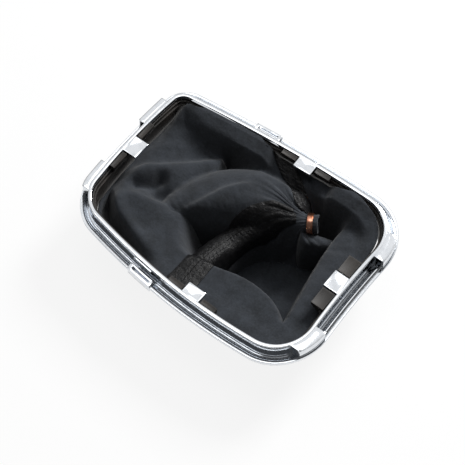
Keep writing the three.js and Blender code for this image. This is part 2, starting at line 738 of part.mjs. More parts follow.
function tubePoint(turn, share) {
  const axisTurn = Math.atan2(NECK_AXIS.y, NECK_AXIS.x);
  const angle = turn - axisTurn;
  const flare = 1 + HEM_FLARE * ease(0.6, 1, share);
  const radius = NECK_RADIUS * flare + PLEAT_HEIGHT * Math.cos(angle * NECK_PLEATS) * (1 - share);
  const centre = NECK.clone().addScaledVector(NECK_AXIS, NECK_ROOT + NECK_STUB * share);
  return centre
    .addScaledVector(tubeUp, -Math.cos(angle) * radius)
    .addScaledVector(tubeAcross, -Math.sin(angle) * radius);
}

// Rows spaced evenly along the leather, from the edge on the carrier to the root of the neck
function evenRows(s, rows) {
  const samples = 200;
  const lengths = [0];
  let before = sockPoint(s, 0);
  let first = 0;
  for (let k = 1; k <= samples; k += 1) {
    const here = sockPoint(s, TUBE_FROM * k / samples);
    lengths.push(lengths[k - 1] + here.distanceTo(before));
    before = here;
    if (first === 0 && lengths[k] >= EDGE_STEP && depthInside(here.x, here.y, sockBorder) >= 0) {
      first = lengths[k];
    }
  }
  const downs = [0];
  let k = 1;
  for (let j = 1; j <= rows; j += 1) {
    const wanted = mix(first, lengths[samples], (j - 1) / (rows - 1));
    while (k < samples && lengths[k] < wanted) {
      k += 1;
    }
    downs.push(TUBE_FROM * (k - 1 + (wanted - lengths[k - 1]) / (lengths[k] - lengths[k - 1])) / samples);
  }
  return downs;
}

// How far the columns are drawn towards the seams, as a share of the panel
const COLUMN_CROWDING = 0.04;

// The gap along the seams widens from here to the root of the neck
const SEAM_WIDENS_FROM = 0.5;

function panelGeometry(fromS, toS) {
  const rows = SOCK_ROWS + TUBE_ROWS;
  const grid = [];
  const step = 0.01;
  const stations = [];
  for (let i = 0; i <= SOCK_COLUMNS; i += 1) {
    const s = mix(fromS, toS, i / SOCK_COLUMNS - COLUMN_CROWDING * Math.sin(2 * Math.PI * i / SOCK_COLUMNS));
    const around = [-3, -2, -1, 0, 1, 2, 3].map((k) => evenRows(s + k * ROW_SPREAD, SOCK_ROWS));
    const downs = around[0].map((_, j) => around.reduce((sum, row) => sum + row[j], 0) / around.length);
    for (let j = 1; j <= TUBE_ROWS; j += 1) {
      downs.push(mix(TUBE_FROM, 1, j / TUBE_ROWS));
    }
    stations.push({ s, downs });
  }
  for (let j = 0; j <= rows; j += 1) {
    for (let i = 0; i <= SOCK_COLUMNS; i += 1) {
      const { s, downs } = stations[i];
      const down = downs[j];
      const p = sockPoint(s, down);
      const alongS = sockPoint(s + 0.2, down).sub(sockPoint(s - 0.2, down));
      const alongDown = sockPoint(s, Math.min(down + step, 1)).sub(sockPoint(s, Math.max(down - step, 0)));
      const normal = new THREE.Vector3().crossVectors(alongS, alongDown).normalize();
      const edgeSide = (i === 0 ? 1 : 0) - (i === SOCK_COLUMNS ? 1 : 0);
      const square = new THREE.Vector3().crossVectors(alongDown, normal).normalize();
      const gap = mix(SEAM_GAP, SEAM_GAP_AT_NECK, ease(SEAM_WIDENS_FROM, TUBE_FROM, down));
      p.addScaledVector(square, edgeSide * gap / 2);
      grid.push({ p, normal });
    }
  }
  const width = SOCK_COLUMNS + 1;
  const lift = (sign) => grid.map(({ p, normal }) => {
    const q = p.clone().addScaledVector(normal, sign * LEATHER / 2);
    return [q.x, q.y, q.z + LIP_HEIGHT];
  });
  const vertices = [...lift(1), ...lift(-1)];
  const under = grid.length;
  const faces = [];
  for (let j = 0; j < rows; j += 1) {
    for (let i = 0; i < SOCK_COLUMNS; i += 1) {
      const [a, b] = [j * width + i, j * width + i + 1];
      const [c, d] = [a + width, b + width];
      const shorter = grid[a].p.distanceTo(grid[d].p) < grid[b].p.distanceTo(grid[c].p);
      for (const [k, l, m] of shorter ? [[a, b, d], [a, d, c]] : [[a, b, c], [b, d, c]]) {
        faces.push([k, l, m], [under + k, under + m, under + l]);
      }
    }
  }
  const border = [];
  for (let i = 0; i < SOCK_COLUMNS; i += 1) {
    border.push([i, i + 1]);
    border.push([rows * width + i + 1, rows * width + i]);
  }
  for (let j = 0; j < rows; j += 1) {
    border.push([(j + 1) * width, j * width]);
    border.push([j * width + SOCK_COLUMNS, (j + 1) * width + SOCK_COLUMNS]);
  }
  for (const [a, b] of border) {
    faces.push([a, under + a, under + b], [a, under + b, b]);
  }
  return faceOutwards(vertices, faces);
}

// Neck ring
function neckRingGeometry() {
  const inner = NECK_RADIUS + PLEAT_HEIGHT + LEATHER / 2 + FIT_GAP;
  const profile = [
    [inner, -RING_WIDTH / 2],
    [inner + RING_THICKNESS, -RING_WIDTH / 2 + 0.3],
    [inner + RING_THICKNESS, RING_WIDTH / 2 - 0.3],
    [inner, RING_WIDTH / 2],
    [inner, -RING_WIDTH / 2],
  ];
  const geometry = new THREE.LatheGeometry(profile.map(([r, h]) => new THREE.Vector2(r, h)), 32);
  const turn = new THREE.Quaternion().setFromUnitVectors(new THREE.Vector3(0, 1, 0), NECK_AXIS);
  geometry.applyQuaternion(turn);
  const at = NECK.clone().addScaledVector(NECK_AXIS, NECK_ROOT + NECK_STUB * 0.42);
  geometry.translate(at.x, at.y, at.z + LIP_HEIGHT);
  return geometry;
}

function material(color, roughness, metalness) {
  return new THREE.MeshStandardMaterial({ color, roughness, metalness });
}

const group = new THREE.Group();

function addPiece(name, geometry, look) {
  const mesh = new THREE.Mesh(geometry, look);
  mesh.name = name;
  group.add(mesh);
}

addPiece('chrome_surround', surroundGeometry(), material(0xd9dade, 0.12, 1));
addPiece('carrier_frame', carrierGeometry(), material(0x2b2927, 0.5, 0));

const nearWrapped = track.near < track.far ? track.near + track.total : track.near;
addPiece('sock_panel_wide', panelGeometry(track.near, track.far), material(0x2b3036, 0.9, 0));
addPiece('sock_panel_narrow', panelGeometry(track.far, nearWrapped), material(0x2b3036, 0.9, 0));
addPiece('neck_ring', neckRingGeometry(), material(0xb87352, 0.3, 1));

export default group;
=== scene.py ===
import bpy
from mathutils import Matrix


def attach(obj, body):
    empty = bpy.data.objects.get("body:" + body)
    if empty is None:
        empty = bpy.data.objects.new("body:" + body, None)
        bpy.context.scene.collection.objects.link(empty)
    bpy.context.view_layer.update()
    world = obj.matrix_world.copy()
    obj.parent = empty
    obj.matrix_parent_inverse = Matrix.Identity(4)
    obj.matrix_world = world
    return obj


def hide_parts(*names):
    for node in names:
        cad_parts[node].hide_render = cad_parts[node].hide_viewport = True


bl_info = {
    "name": "Gear lever gaiter",
    "version": (1, 0, 0),
    "blender": (4, 5, 0),
    "location": "3D View > Sidebar > Gaiter",
    "description": "Leather gear lever gaiter in a chromed surround, lying face down and seen from its back",
    "category": "Object",
}

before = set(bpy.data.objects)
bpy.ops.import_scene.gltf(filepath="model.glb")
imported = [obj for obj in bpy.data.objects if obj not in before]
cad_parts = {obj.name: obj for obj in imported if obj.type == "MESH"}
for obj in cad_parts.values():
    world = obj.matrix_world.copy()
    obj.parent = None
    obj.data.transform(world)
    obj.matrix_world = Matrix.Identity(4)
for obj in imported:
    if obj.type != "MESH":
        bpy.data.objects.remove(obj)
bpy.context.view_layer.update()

import math

import bmesh
import bpy
import numpy as np
from bpy.props import FloatProperty, FloatVectorProperty, PointerProperty
from mathutils import Matrix, Vector

MM = 0.001
IMAGE_SIZE = 465

# Outline and sections of the surround and its carrier, in millimetres, as in the CAD
LENGTH = 172.0
NARROW_WIDTH = 106.4
WIDE_WIDTH = 124.0
NEAR_NARROW_RADIUS = 21.4
NEAR_WIDE_RADIUS = 30.6
FAR_WIDE_RADIUS = 32.8
FAR_NARROW_RADIUS = 13.5
LEAST_RADIUS = 5.0
NEAR_BOW = 9.4
FAR_BOW = 4.2
NARROW_CROWN = 3.1
WIDE_HOLLOW = 2.6
LIP_HEIGHT = 38.0
WALL_RISE = 7.3
SIDE_RIM = 6.7
NARROW_RIM = 4.6
WIDE_RIM = 7.8
LIP_THICKNESS = 1.9
EDGE_BEVEL = 0.3
RING_STEPS = (28, 44)
WALL_THICKNESS = 2.3
TROUGH_DEPTH = 4.6
FACE_DEPTH = 13.0
FACE_THICKNESS = 2.2
FIT_GAP = 0.3
CLIP_WIDTH = 12.0
CLIP_THICKNESS = 1.8
END_CLIP_REACH = 9.5
SIDE_CLIP_REACH = 7.0
SIDE_CLIP_X = 11.5
END_CLIP_Y = 1.5
CLIP_BARB = 0.9
CLIP_BARB_LENGTH = 1.3
CLIP_ROOT = 1.2
PAD_OUTER_SHARE = 0.16
NARROW_PAD = (17.5, 38.0)
WIDE_PAD = (28.0, 46.0)
PAD_SLOT_WALL = 1.1
PAD_SLOT_DEPTH = 5.0
BLOCK_X = (-30.0, -12.5)
BLOCK_RISE = 1.8
BLOCK_SHARE = 0.62
LEDGE_X = (-30.0, -16.0)
LEDGE_DEPTH = 0.9
LEDGE_Z = (3.0, 5.6)
BEAD_RADIUS = 1.5
BEAD_SHARE = 0.42
BEAD_DROP = 0.6
CARRIER_THICKNESS = 2.0
CARRIER_DROP = 1.5
CARRIER_STEP = 2.2
END_LUG_LENGTH = 12.0
END_LUG_REACH = 8.5
SIDE_LUG_LENGTH = 10.0
SIDE_LUG_REACH = 3.4
LUG_GAP = 0.8
LUG_DROP = 0.5
LUG_SLOPE_FROM = 2.4

# Sections of the surround: a wall's rounded edge as steps inwards and down, the trough's bend as shares and
# depth, and the face as shares of the rim's width and of the face's depth
ROUND_EDGE = ((0.0, 0.4), (0.1, 0.1), (0.35, 0.0))
TROUGH_BEND = (0.12, 0.88, 0.9)
FACE_CURVE = ((0.8, 0.9), (0.62, 0.8), (0.42, 0.64), (0.25, 0.46), (0.1, 0.3))

# Leather sock, heights measured from the lip, as in the CAD
LEATHER = 1.1
SEAM_X = -2.5
SEAM_GAP = 0.3
NECK = np.array([27.8, 26.4, -7.6])
NECK_AXIS = np.array([0.86, 0.48, 0.1]) / np.linalg.norm([0.86, 0.48, 0.1])
NECK_RADIUS = 4.8
NECK_ROOT = 3.0
NECK_STUB = 8.0
NECK_REACH = 14.0
HEM_FLARE = 0.08
RING_PLACE = 0.42
NECK_PLEATS = 18
PLEAT_HEIGHT = 0.2
TUBE_FROM = 0.88
TAPER = 0.95
TWIST = 1.05
TWIST_POWER = 1.5
TWIST_EASED = (0.7, 2.8, 2.2)
FLOOR = LEATHER / 2 - LIP_HEIGHT
FLOOR_BLEND = 6.0
SOCK_EXTRA = WALL_THICKNESS + FIT_GAP + CARRIER_THICKNESS + FIT_GAP + LEATHER / 2
LUG_SPAN = CLIP_WIDTH / 2 + LUG_GAP + SIDE_LUG_LENGTH
LAP_FADE = 8.0

# Zones of the plan: each has a value, and the spans in X and in Y over which it sets in
ALL = (-200, -199)
EDGE_HEIGHT = -9.2
EDGE_ZONES = ((-4.5, (-28, -14), (-30, -46)), (-3.0, (50, 70), ALL), (-9.0, (-60, -74), (-24, -17)))
SHELF_ZONES = ((-5.2, (-60, -30), (-8, -26)), (-4.0, (36, 60), ALL))
PIT_SLOPE = 9.0
PIT_SLOPE_ZONES = ((26.0, (0, -30), (10, -10)), (5.0, (-30, -45), (25, 35)))

# The far edge, which laps over the carrier's top but for the clip and its lugs
FAR_EDGE = 6.2
FAR_EDGE_AT_LUGS = -0.1
FAR_EDGE_Y = (20, 44)
FAR_EDGE_X = (-77, -69)
FAR_EDGE_LOWERED_X = (56, 74)
LAP_Y = (36, 46)
LAP_START_X = (-66, -56)
LAP_END_X = (58, 48)

# The shelf round the pit falls along X, and the pit's edge in plan is a closed line
SHELF_TOP = -1.0
SHELF_FALL = 0.23
SHELF_X = (-76, -33)
PIT = ((-80, 58), (-70, 47), (-61, 41.5), (-44, 41), (-33, 33), (-32, 4), (-29, -12), (-25, -23), (-14, -32),
       (5, -28), (28, -21.5), (49, -25), (61, -36), (58, -18), (54, 2), (50.5, 26), (51, 43), (57, 51),
       (52, 66), (-70, 70))
PIT_BRINK = -0.15

# Ridges: each place has its X, Y and height, and the width of its right and its left slope. They are the
# roll, the fold that hangs below the collar, and the taut leather along the near seam up to the neck.
ROLL = ((-42, -14, -9, 4, 8), (-31, 0, -3, 15, 25), (-20, 14, 0, 22, 27), (-9, 24, 2, 26, 24),
        (4, 31, 2, 27, 22), (15, 32, 0, 22, 17))
COLLAR_FOLD = ((31, 22, -9, 5, 8), (37, 20, -8, 5, 10), (43, 24, -9.5, 5, 10), (48, 28, -13, 4, 8))
SADDLE = ((-2.5, -48, -7, 9, 14), (-2, -33, -6, 9, 14), (-1.7, -21, -9, 9, 15), (-0.6, -10.6, -13, 10, 16),
          (2, -1, -13, 10, 16), (6, 9, -10, 10, 16), (12, 17, -7, 9, 14), (20, 22, -4.5, 8, 10))
RIDGE_FALL = 34
RIDGE_POWER = (4.5, 3)
RIDGE_BLEND = 4
DEEP = -60.0

# Folds: height, width of the right and of the left slope, and the line. The last six are finer creases.
FOLDS = (
    (3.5, 9, 3, ((-80, -15), (-57, 6), (-33, 33))),
    (-3.0, 7, 9, ((-74, 3), (-56, 18), (-40, 37))),
    (-6.5, 4, 4.5, ((-64, -13), (-58, -7), (-55, -1))),
    (-6.0, 4, 6, ((-51, -10), (-43, -7))),
    (3.5, 10, 3, ((-58, -20), (-45, -16), (-29, -11))),
    (-3.0, 4, 3, ((-38, -10), (-33, -4), (-29, 5), (-24, 15), (-17, 25))),
    (-1.2, 4, 4, ((-33, -22), (-28, -30), (-22, -40))),
    (-0.9, 4, 4, ((-70, 22), (-58, 31), (-50, 40))),
    (0.8, 4, 4, ((-66, 36), (-52, 33), (-40, 27))),
    (-0.7, 5, 5, ((20, -40), (34, -36), (52, -40))),
    (0.8, 4, 4, ((60, -24), (62, -4), (60, 18))),
)
# The flap that lies on the roll
FLAP = (2.6, 9, 2.6, ((-37, -23), (-31.5, -14), (-25.6, -4.6), (-20.8, 4.6), (-16.6, 13.4), (-10, 21)))

# The lower edge of the leather along the narrow end, which drops off to its right
GUTTER = ((-64, 64), (-70.5, 51), (-73.2, 44), (-75, 34), (-76.6, 20), (-77.4, 4), (-79, -9), (-77.5, -15),
          (-73, -21.5), (-67, -28), (-61, -33), (-52, -36), (-44, -39), (-33, -43), (-26, -47), (-22, -60))
GUTTER_DEPTH = 22
GUTTER_WIDTH = 5
GUTTER_RIM = 2.5
GUTTER_RIM_WIDTH = 4

# The wall of leather inside the carrier, and the far wall's top, which leans back as a broad brow
WALL_BREADTH = 12.0
GUTTER_WALL_BREADTH = 5.0
BROW_BREADTH = 16.0
BROW_LEAN = 0.45
BROW_SHARE = 0.42
BROW_Y = (26, 40)
BROW_X = (-76, -68)

# The gathers: share, count and phase of the waves round the neck, then fine ones on the near side
GATHER_HEIGHT = 0.42
GATHER_WAVES = ((1.0, 11, 0.7), (0.7, 17, 2.1), (0.5, 27, 0.4))
GATHER_FADE = (12, 44)
GATHER_START = 9
FINE_GATHERS = 61
FINE_SHARE = 0.4
FINE_FADE = (10, 30)
FINE_ANGLE = (-3.3, -2.2)

# Seam allowances, with places along and across them as shares, and stitches
STRIP_END = 0.83
STRIP_COLUMNS = 25
STRIP_START = 0.03
STRIP_SPREAD = 5.5
STRIP_BODY = 0.85
STRIP_THINNED = 0.5
STRIP_EDGE = (0.75, 1)
STRIP_WAVE = 0.1
STRIP_WAVES = 95
SUEDE_GAP = 0.03
STITCH_INSET = 2.6
STITCH_LIFT = 0.92
STITCH_MARGIN = 3.0
THREAD_WIDTH = 0.55
THREAD_HEIGHT = 0.5

# Camera, worked out from the outline in the photograph
CAMERA_AZIMUTH = 37.69
CAMERA_ELEVATION = 61.14
CAMERA_DISTANCE = 960.14
CAMERA_VIEW_DEG = 16.0
ORIGIN_PX = (240.55, 222.0)
SENSOR_WIDTH = 36.0

# Lamps, in metres: name, place and size. The diffuser has its direction, and its edge in cosines.
LAMPS = (("key", (0.15, 0.95, 0.85), 0.4), ("fill", (-0.25, 0.15, 1.25), 0.6))
DIFFUSER_TOWARDS = (-0.2955, 0.382, 0.8755)
DIFFUSER_EDGE = (0.8, 0.97)
FLOOR_SIZE = 8.0
FLOOR_DROP = 0.0005


def mix(a, b, share):
    """The value at a share of the way from a to b."""
    return a + (b - a) * share


def ease(low, high, value):
    """Goes smoothly from 0 at low to 1 at high."""
    share = np.clip((value - low) / (high - low), 0.0, 1.0)
    return share * share * (3 - 2 * share)


def soft_max(a, b, blend):
    """The higher of two surfaces, with a fillet where they come within blend of each other."""
    overlap = np.maximum(blend - np.abs(a - b), 0) / blend
    return np.maximum(a, b) + overlap * overlap * blend * 0.25


def unit(v):
    return v / np.maximum(np.linalg.norm(v, axis=-1, keepdims=True), 1e-9)


def round_corner(before, corner, after, radius, steps):
    """The arc that rounds off a corner."""
    radius = max(radius, LEAST_RADIUS)
    u = unit(before - corner)
    v = unit(after - corner)
    half = math.acos(float(np.clip(u @ v, -1, 1))) / 2
    centre = corner + unit(u + v) * radius / math.sin(half)
    start = corner + u * radius / math.tan(half) - centre
    turn = np.linspace(0, math.pi - 2 * half, steps + 1)
    c, s = np.cos(turn), np.sin(turn)
    return centre + np.stack([start[0] * c - start[1] * s, start[0] * s + start[1] * c], 1)


def raw_outline(share, extra, arc_steps, side_steps):
    """The surround's outline: share 0 is the lip, 1 the wall's outer face, extra goes on inwards."""
    side = share * SIDE_RIM + extra
    narrow = share * NARROW_RIM + extra
    wide = share * WIDE_RIM + extra
    taper = (WIDE_WIDTH - NARROW_WIDTH) / 2 / LENGTH
    middle = (WIDE_WIDTH + NARROW_WIDTH) / 4
    lean = math.hypot(1, taper)
    left = -LENGTH / 2 + narrow
    right = LENGTH / 2 - wide

    def half(x):
        return middle + taper * x - side * lean

    places = ((left, -half(left)), (right, -half(right)), (right, half(right)), (left, half(left)))
    corners = [np.array(place) for place in places]
    radii = (NEAR_NARROW_RADIUS - (side + narrow) / 2, NEAR_WIDE_RADIUS - (side + wide) / 2,
             FAR_WIDE_RADIUS - (side + wide) / 2, FAR_NARROW_RADIUS - (side + narrow) / 2)
    arcs = [round_corner(corners[i - 1], corners[i], corners[(i + 1) % 4], radii[i], arc_steps)
            for i in range(4)]
    points = []
    for i, arc in enumerate(arcs):
        points.append(arc)
        along = np.linspace(0, 1, side_steps + 1)[1:-1, None]
        points.append(mix(arc[-1], arcs[(i + 1) % 4][0], along))
    x, y = np.concatenate(points).T
    across = np.minimum(np.abs(y) / (middle - side), 1)
    length = np.minimum(np.abs(x) / (LENGTH / 2 - (narrow + wide) / 2), 1)
    bow = np.where(y < 0, NEAR_BOW, FAR_BOW)
    crown = np.where(x < 0, NARROW_CROWN, -WIDE_HOLLOW)
    bowed = y + np.sign(y) * across * bow * (1 - (2 * x / LENGTH) ** 2)
    crowned = x + np.sign(x) * length ** 2 * crown * (1 - across ** 2)
    return np.stack([crowned, bowed], 1)


_rim = raw_outline(0, 0, 8, 8)
OUTLINE_CENTRE = (_rim.min(0) + _rim.max(0)) / 2


def outline(share, extra=0.0, arc_steps=24, side_steps=40):
    return raw_outline(share, extra, arc_steps, side_steps) - OUTLINE_CENTRE


def smooth_line(line, closed=False):
    """A line of places with its corners cut off twice."""
    places = np.array(line, float)
    for _ in range(2):
        here, after = (places, np.roll(places, -1, 0)) if closed else (places[:-1], places[1:])
        cut = np.stack([mix(here, after, 0.25), mix(here, after, 0.75)], 1).reshape(-1, places.shape[1])
        places = cut if closed else np.vstack([places[:1], cut, places[-1:]])
    return places


def segment_near(x, y, a, b):
    """Share along the segment, distance from it, and 1 squarely to its left or -1 squarely to its right."""
    dx, dy = b[0] - a[0], b[1] - a[1]
    along = np.clip(((x - a[0]) * dx + (y - a[1]) * dy) / (dx * dx + dy * dy), 0, 1)
    distance = np.hypot(x - a[0] - along * dx, y - a[1] - along * dy)
    side = (dx * (y - a[1]) - dy * (x - a[0])) / np.maximum(math.hypot(dx, dy) * distance, 1e-9)
    return along, distance, side


def line_near(x, y, line):
    """Distance from a line of places, and the side as in segment_near."""
    best = np.full(np.shape(x), 1e9)
    side = np.ones(np.shape(x))
    for a, b in zip(line[:-1], line[1:]):
        _, distance, here = segment_near(x, y, a, b)
        side = np.where(distance < best - 1e-6, here, side)
        best = np.minimum(best, distance)
    return best, side


def depth_inside(x, y, loop):
    """Distance inwards from a closed loop, less than nothing outside it."""
    best = np.full(np.shape(x), 1e9)
    inside = np.zeros(np.shape(x), bool)
    for a, b in zip(loop, np.roll(loop, -1, 0)):
        best = np.minimum(best, segment_near(x, y, a, b)[1])
        rise = b[1] - a[1]
        rise = rise if abs(rise) > 1e-9 else 1e-9
        inside ^= ((a[1] > y) != (b[1] > y)) & (x < a[0] + (y - a[1]) * (b[0] - a[0]) / rise)
    return np.where(inside, best, -best)


def at_lugs(x, margin):
    """1 at the clips and lugs of the long sides, 0 away from them."""
    return 1 - ease(0, LAP_FADE, np.abs(x - SIDE_CLIP_X) - LUG_SPAN - margin)


def zoned(x, y, value, zones):
    """A value that others take over in their zones."""
    for other, span_x, span_y in zones:
        value = mix(value, other, ease(*span_x, x) * ease(*span_y, y))
    return value


def edge_height(x, y):
    """Height of the sock's edge inside the carrier."""
    far = ease(*FAR_EDGE_Y, y) * (1 - 0.5 * ease(*FAR_EDGE_LOWERED_X, x)) * ease(*FAR_EDGE_X, x)
    high = mix(FAR_EDGE, FAR_EDGE_AT_LUGS, at_lugs(x, LUG_GAP))
    return mix(zoned(x, y, EDGE_HEIGHT, EDGE_ZONES), high, far)


def edge_lap(x, y):
    """How far the sock's edge laps over the carrier's top."""
    far = ease(*LAP_Y, y) * ease(*LAP_START_X, x) * ease(*LAP_END_X, x)
    return (CARRIER_THICKNESS + FIT_GAP) * far * (1 - at_lugs(x, LUG_GAP + LAP_FADE))


def smooth_fold(fold):
    """A fold with its line smoothed."""
    return (*fold[:3], smooth_line(fold[3]))


PIT_LINE = smooth_line(PIT, closed=True)
COLLAR_LINE = smooth_line(COLLAR_FOLD)
ROLL_LINE = smooth_line(ROLL)
SADDLE_LINE = smooth_line(SADDLE)
GUTTER_LINE = smooth_line(GUTTER)
SMOOTH_FOLDS = [smooth_fold(fold) for fold in FOLDS]
SMOOTH_FLAP = smooth_fold(FLAP)


def fold_height(x, y, fold):
    height, right, left, line = fold
    distance, side = line_near(x, y, line)
    return height * np.exp(-((distance / mix(right, left, ease(-1, 1, side))) ** 2))


def ridge_height(x, y, line):
    best = np.full(np.shape(x), DEEP)
    for a, b in zip(line[:-1], line[1:]):
        along, distance, side = segment_near(x, y, a, b)
        across = ease(-1, 1, side)
        half = mix(mix(a[3], b[3], along), mix(a[4], b[4], along), across)
        fall = RIDGE_FALL * (distance / half) ** mix(*RIDGE_POWER, across)
        best = np.maximum(best, mix(a[2], b[2], along) - fall)
    return best


def bag_height(x, y):
    """Height of the crushed leather over the plan, without the gathers and the neck."""
    shelf = SHELF_TOP - SHELF_FALL * (np.clip(x, *SHELF_X) - SHELF_X[0])
    slope = zoned(x, y, PIT_SLOPE, PIT_SLOPE_ZONES)
    pit = ease(PIT_BRINK, 1.0, depth_inside(x, y, PIT_LINE) / slope)
    bowl = mix(zoned(x, y, shelf, SHELF_ZONES), FLOOR - FLOOR_BLEND, pit)
    for fold in SMOOTH_FOLDS:
        bowl = bowl + fold_height(x, y, fold)
    distance, side = line_near(x, y, GUTTER_LINE)
    gutter = distance * np.sign(side)
    dropped = ease(0, GUTTER_WIDTH, -gutter)
    bowl = bowl - GUTTER_DEPTH * dropped + GUTTER_RIM * np.exp(-((gutter - 1) / GUTTER_RIM_WIDTH) ** 2)
    roll = ridge_height(x, y, ROLL_LINE) + fold_height(x, y, SMOOTH_FLAP)
    taut = np.maximum(ridge_height(x, y, SADDLE_LINE), ridge_height(x, y, COLLAR_LINE))
    z = soft_max(soft_max(soft_max(bowl, roll, RIDGE_BLEND), taut, RIDGE_BLEND), FLOOR, FLOOR_BLEND)
    inset = np.maximum(depth_inside(x, y, EDGE_LOOP), 0)
    brow = ease(*BROW_Y, y) * ease(*BROW_X, x)
    breadth = mix(mix(WALL_BREADTH, GUTTER_WALL_BREADTH, dropped), BROW_BREADTH, brow)
    top = edge_height(x, y) - BROW_LEAN * inset * brow
    return mix(top, z, ease(BROW_SHARE * brow, 1, inset / breadth))


class SeamedLoop:
    """The sock's edge by length, with the places of its two seams."""

    def __init__(self, loop):
        self.closed = np.vstack([loop, loop[:1]])
        steps = np.linalg.norm(np.diff(self.closed, axis=0), axis=1)
        self.lengths = np.concatenate([[0], np.cumsum(steps)])
        self.total = self.lengths[-1]
        self.near = self.crossing(-1)
        self.far = self.crossing(1)

    def at(self, s):
        s = np.mod(s, self.total)
        return np.stack([np.interp(s, self.lengths, self.closed[:, k]) for k in (0, 1)], -1)

    def crossing(self, sign):
        x, y = self.closed.T
        meets = (np.sign(y[:-1]) == sign) & ((x[:-1] - SEAM_X) * (x[1:] - SEAM_X) <= 0)
        i = int(np.flatnonzero(meets)[0])
        share = (SEAM_X - x[i]) / (x[i + 1] - x[i])
        return float(self.lengths[i] + share * (self.lengths[i + 1] - self.lengths[i]))


TRACK = SeamedLoop(outline(1, SOCK_EXTRA))
EDGE_LOOP = outline(1, SOCK_EXTRA, 8, 8)
TUBE_ACROSS = unit(np.cross(NECK_AXIS, [0, 0, 1]))
TUBE_UP = np.cross(TUBE_ACROSS, NECK_AXIS)


def tube_point(turn, share):
    """A place on the neck: share runs from its root, 0, to the hem, 1."""
    angle = turn - math.atan2(NECK_AXIS[1], NECK_AXIS[0])
    flare = 1 + HEM_FLARE * ease(0.6, 1, share)
    radius = NECK_RADIUS * flare + PLEAT_HEIGHT * np.cos(angle * NECK_PLEATS) * (1 - share)
    centre = NECK + NECK_AXIS * (NECK_ROOT + NECK_STUB * share)[..., None]
    up = TUBE_UP * (np.cos(angle) * radius)[..., None]
    return centre - up - TUBE_ACROSS * (np.sin(angle) * radius)[..., None]


def gathers(angle, radius):
    """The pleats that run into the neck, deepest just before the ring."""
    uneven = sum(share * np.cos(angle * count + phase) for share, count, phase in GATHER_WAVES)
    fine = np.cos(angle * FINE_GATHERS) * (1 - ease(*FINE_FADE, radius)) * (1 - ease(*FINE_ANGLE, angle))
    faded = (1 - ease(*GATHER_FADE, radius)) * ease(NECK_RADIUS, GATHER_START, radius)
    return GATHER_HEIGHT * (uneven + fine * FINE_SHARE) * faded


def radius_at(reach, down):
    """Distance from the neck at a share of the way down the leather."""
    return mix(reach, NECK_RADIUS, np.clip(down / TUBE_FROM, 0, 1) ** TAPER)


def sock_point(s, down):
    """A place on the sock: s is the length round its edge, down runs from the carrier, 0, to the hem, 1."""
    edge = TRACK.at(s)
    tangent = unit(TRACK.at(s + 0.5) - TRACK.at(s - 0.5))
    lap = edge_lap(edge[..., 0], edge[..., 1])[..., None]
    edge = edge + np.stack([tangent[..., 1], -tangent[..., 0]], -1) * lap
    away = edge - NECK[:2]
    reach = np.hypot(away[..., 0], away[..., 1])
    radius = radius_at(reach, down)
    angle = np.arctan2(away[..., 1], away[..., 0])
    most, at, by = TWIST_EASED
    eased = most * np.exp(-by * (1 - np.cos(angle - at)))
    turned = angle - TWIST * (1 - eased) * (1 - radius / reach) ** TWIST_POWER
    x = NECK[0] + np.cos(turned) * radius
    y = NECK[1] + np.sin(turned) * radius
    bag = np.stack([x, y, np.maximum(bag_height(x, y) + gathers(angle, radius), FLOOR)], -1)
    root = (1 - ease(NECK_RADIUS, NECK_REACH, radius))[..., None]
    bag = mix(bag, tube_point(turned, np.zeros_like(down)), root)
    tube = tube_point(turned, np.clip((down - TUBE_FROM) / (1 - TUBE_FROM), 0, 1))
    return np.where((down >= TUBE_FROM)[..., None], tube, bag)


def sock_surface(s, downs):
    """Points and normals on the middle of the leather, with the direction along the edge."""
    step = 0.004
    along_s = sock_point(s + 0.2, downs) - sock_point(s - 0.2, downs)
    along_down = sock_point(s, np.minimum(downs + step, 1)) - sock_point(s, np.maximum(downs - step, 0))
    normals = unit(np.cross(along_s, along_down))
    return sock_point(s, downs), normals, unit(np.cross(along_down, normals))


def even_rows(s, rows, last=1.0):
    """Rows spaced evenly along the leather, the same for neighbouring columns."""
    fine = np.linspace(0, last, 400)
    path = sock_point(s[None].repeat(400, 0), fine[:, None].repeat(len(s), 1))
    steps = np.linalg.norm(np.diff(path, axis=0), axis=2)
    lengths = np.vstack([np.zeros(len(s)), np.cumsum(steps, 0)])
    downs = np.stack([np.interp(np.linspace(0, each[-1], rows + 1), each, fine) for each in lengths.T], 1)
    kernel = np.ones(9) / 9
    for _ in range(3):
        padded = np.pad(downs, ((0, 0), (4, 4)), mode="edge")
        downs = np.apply_along_axis(lambda r: np.convolve(r, kernel, "valid"), 1, padded)
    return downs


def linear(hex_colour):
    channels = [int(hex_colour[i:i + 2], 16) / 255 for i in (1, 3, 5)]
    return tuple(c / 12.92 if c <= 0.04045 else ((c + 0.055) / 1.055) ** 2.4 for c in channels)


def feed(tree, made, inputs):
    """Gives each socket of a node a value or the output that it is linked to."""
    for socket, value in inputs.items():
        if isinstance(value, bpy.types.NodeSocket):
            tree.links.new(value, made.inputs[socket])
        else:
            made.inputs[socket].default_value = value
    return made


def node(tree, kind, inputs, **settings):
    """Adds a shader node of a kind."""
    made = tree.nodes.new("ShaderNode" + kind)
    for key, value in settings.items():
        setattr(made, key, value)
    return feed(tree, made, inputs)


def new_material(name):
    material = bpy.data.materials.new(name)
    material.use_nodes = True
    tree = material.node_tree
    place = node(tree, "TexCoord", {}).outputs["Object"]
    return material, tree, tree.nodes["Principled BSDF"], place


def colour(value):
    return tuple(value)[:3] + (1.0,)


def noise(tree, place, size, detail, roughness=0.5):
    """Clouds of noise of about this size, in metres."""
    return node(tree, "TexNoise", {"Vector": place, "Scale": 1 / size, "Detail": detail,
                                             "Roughness": roughness}).outputs["Fac"]


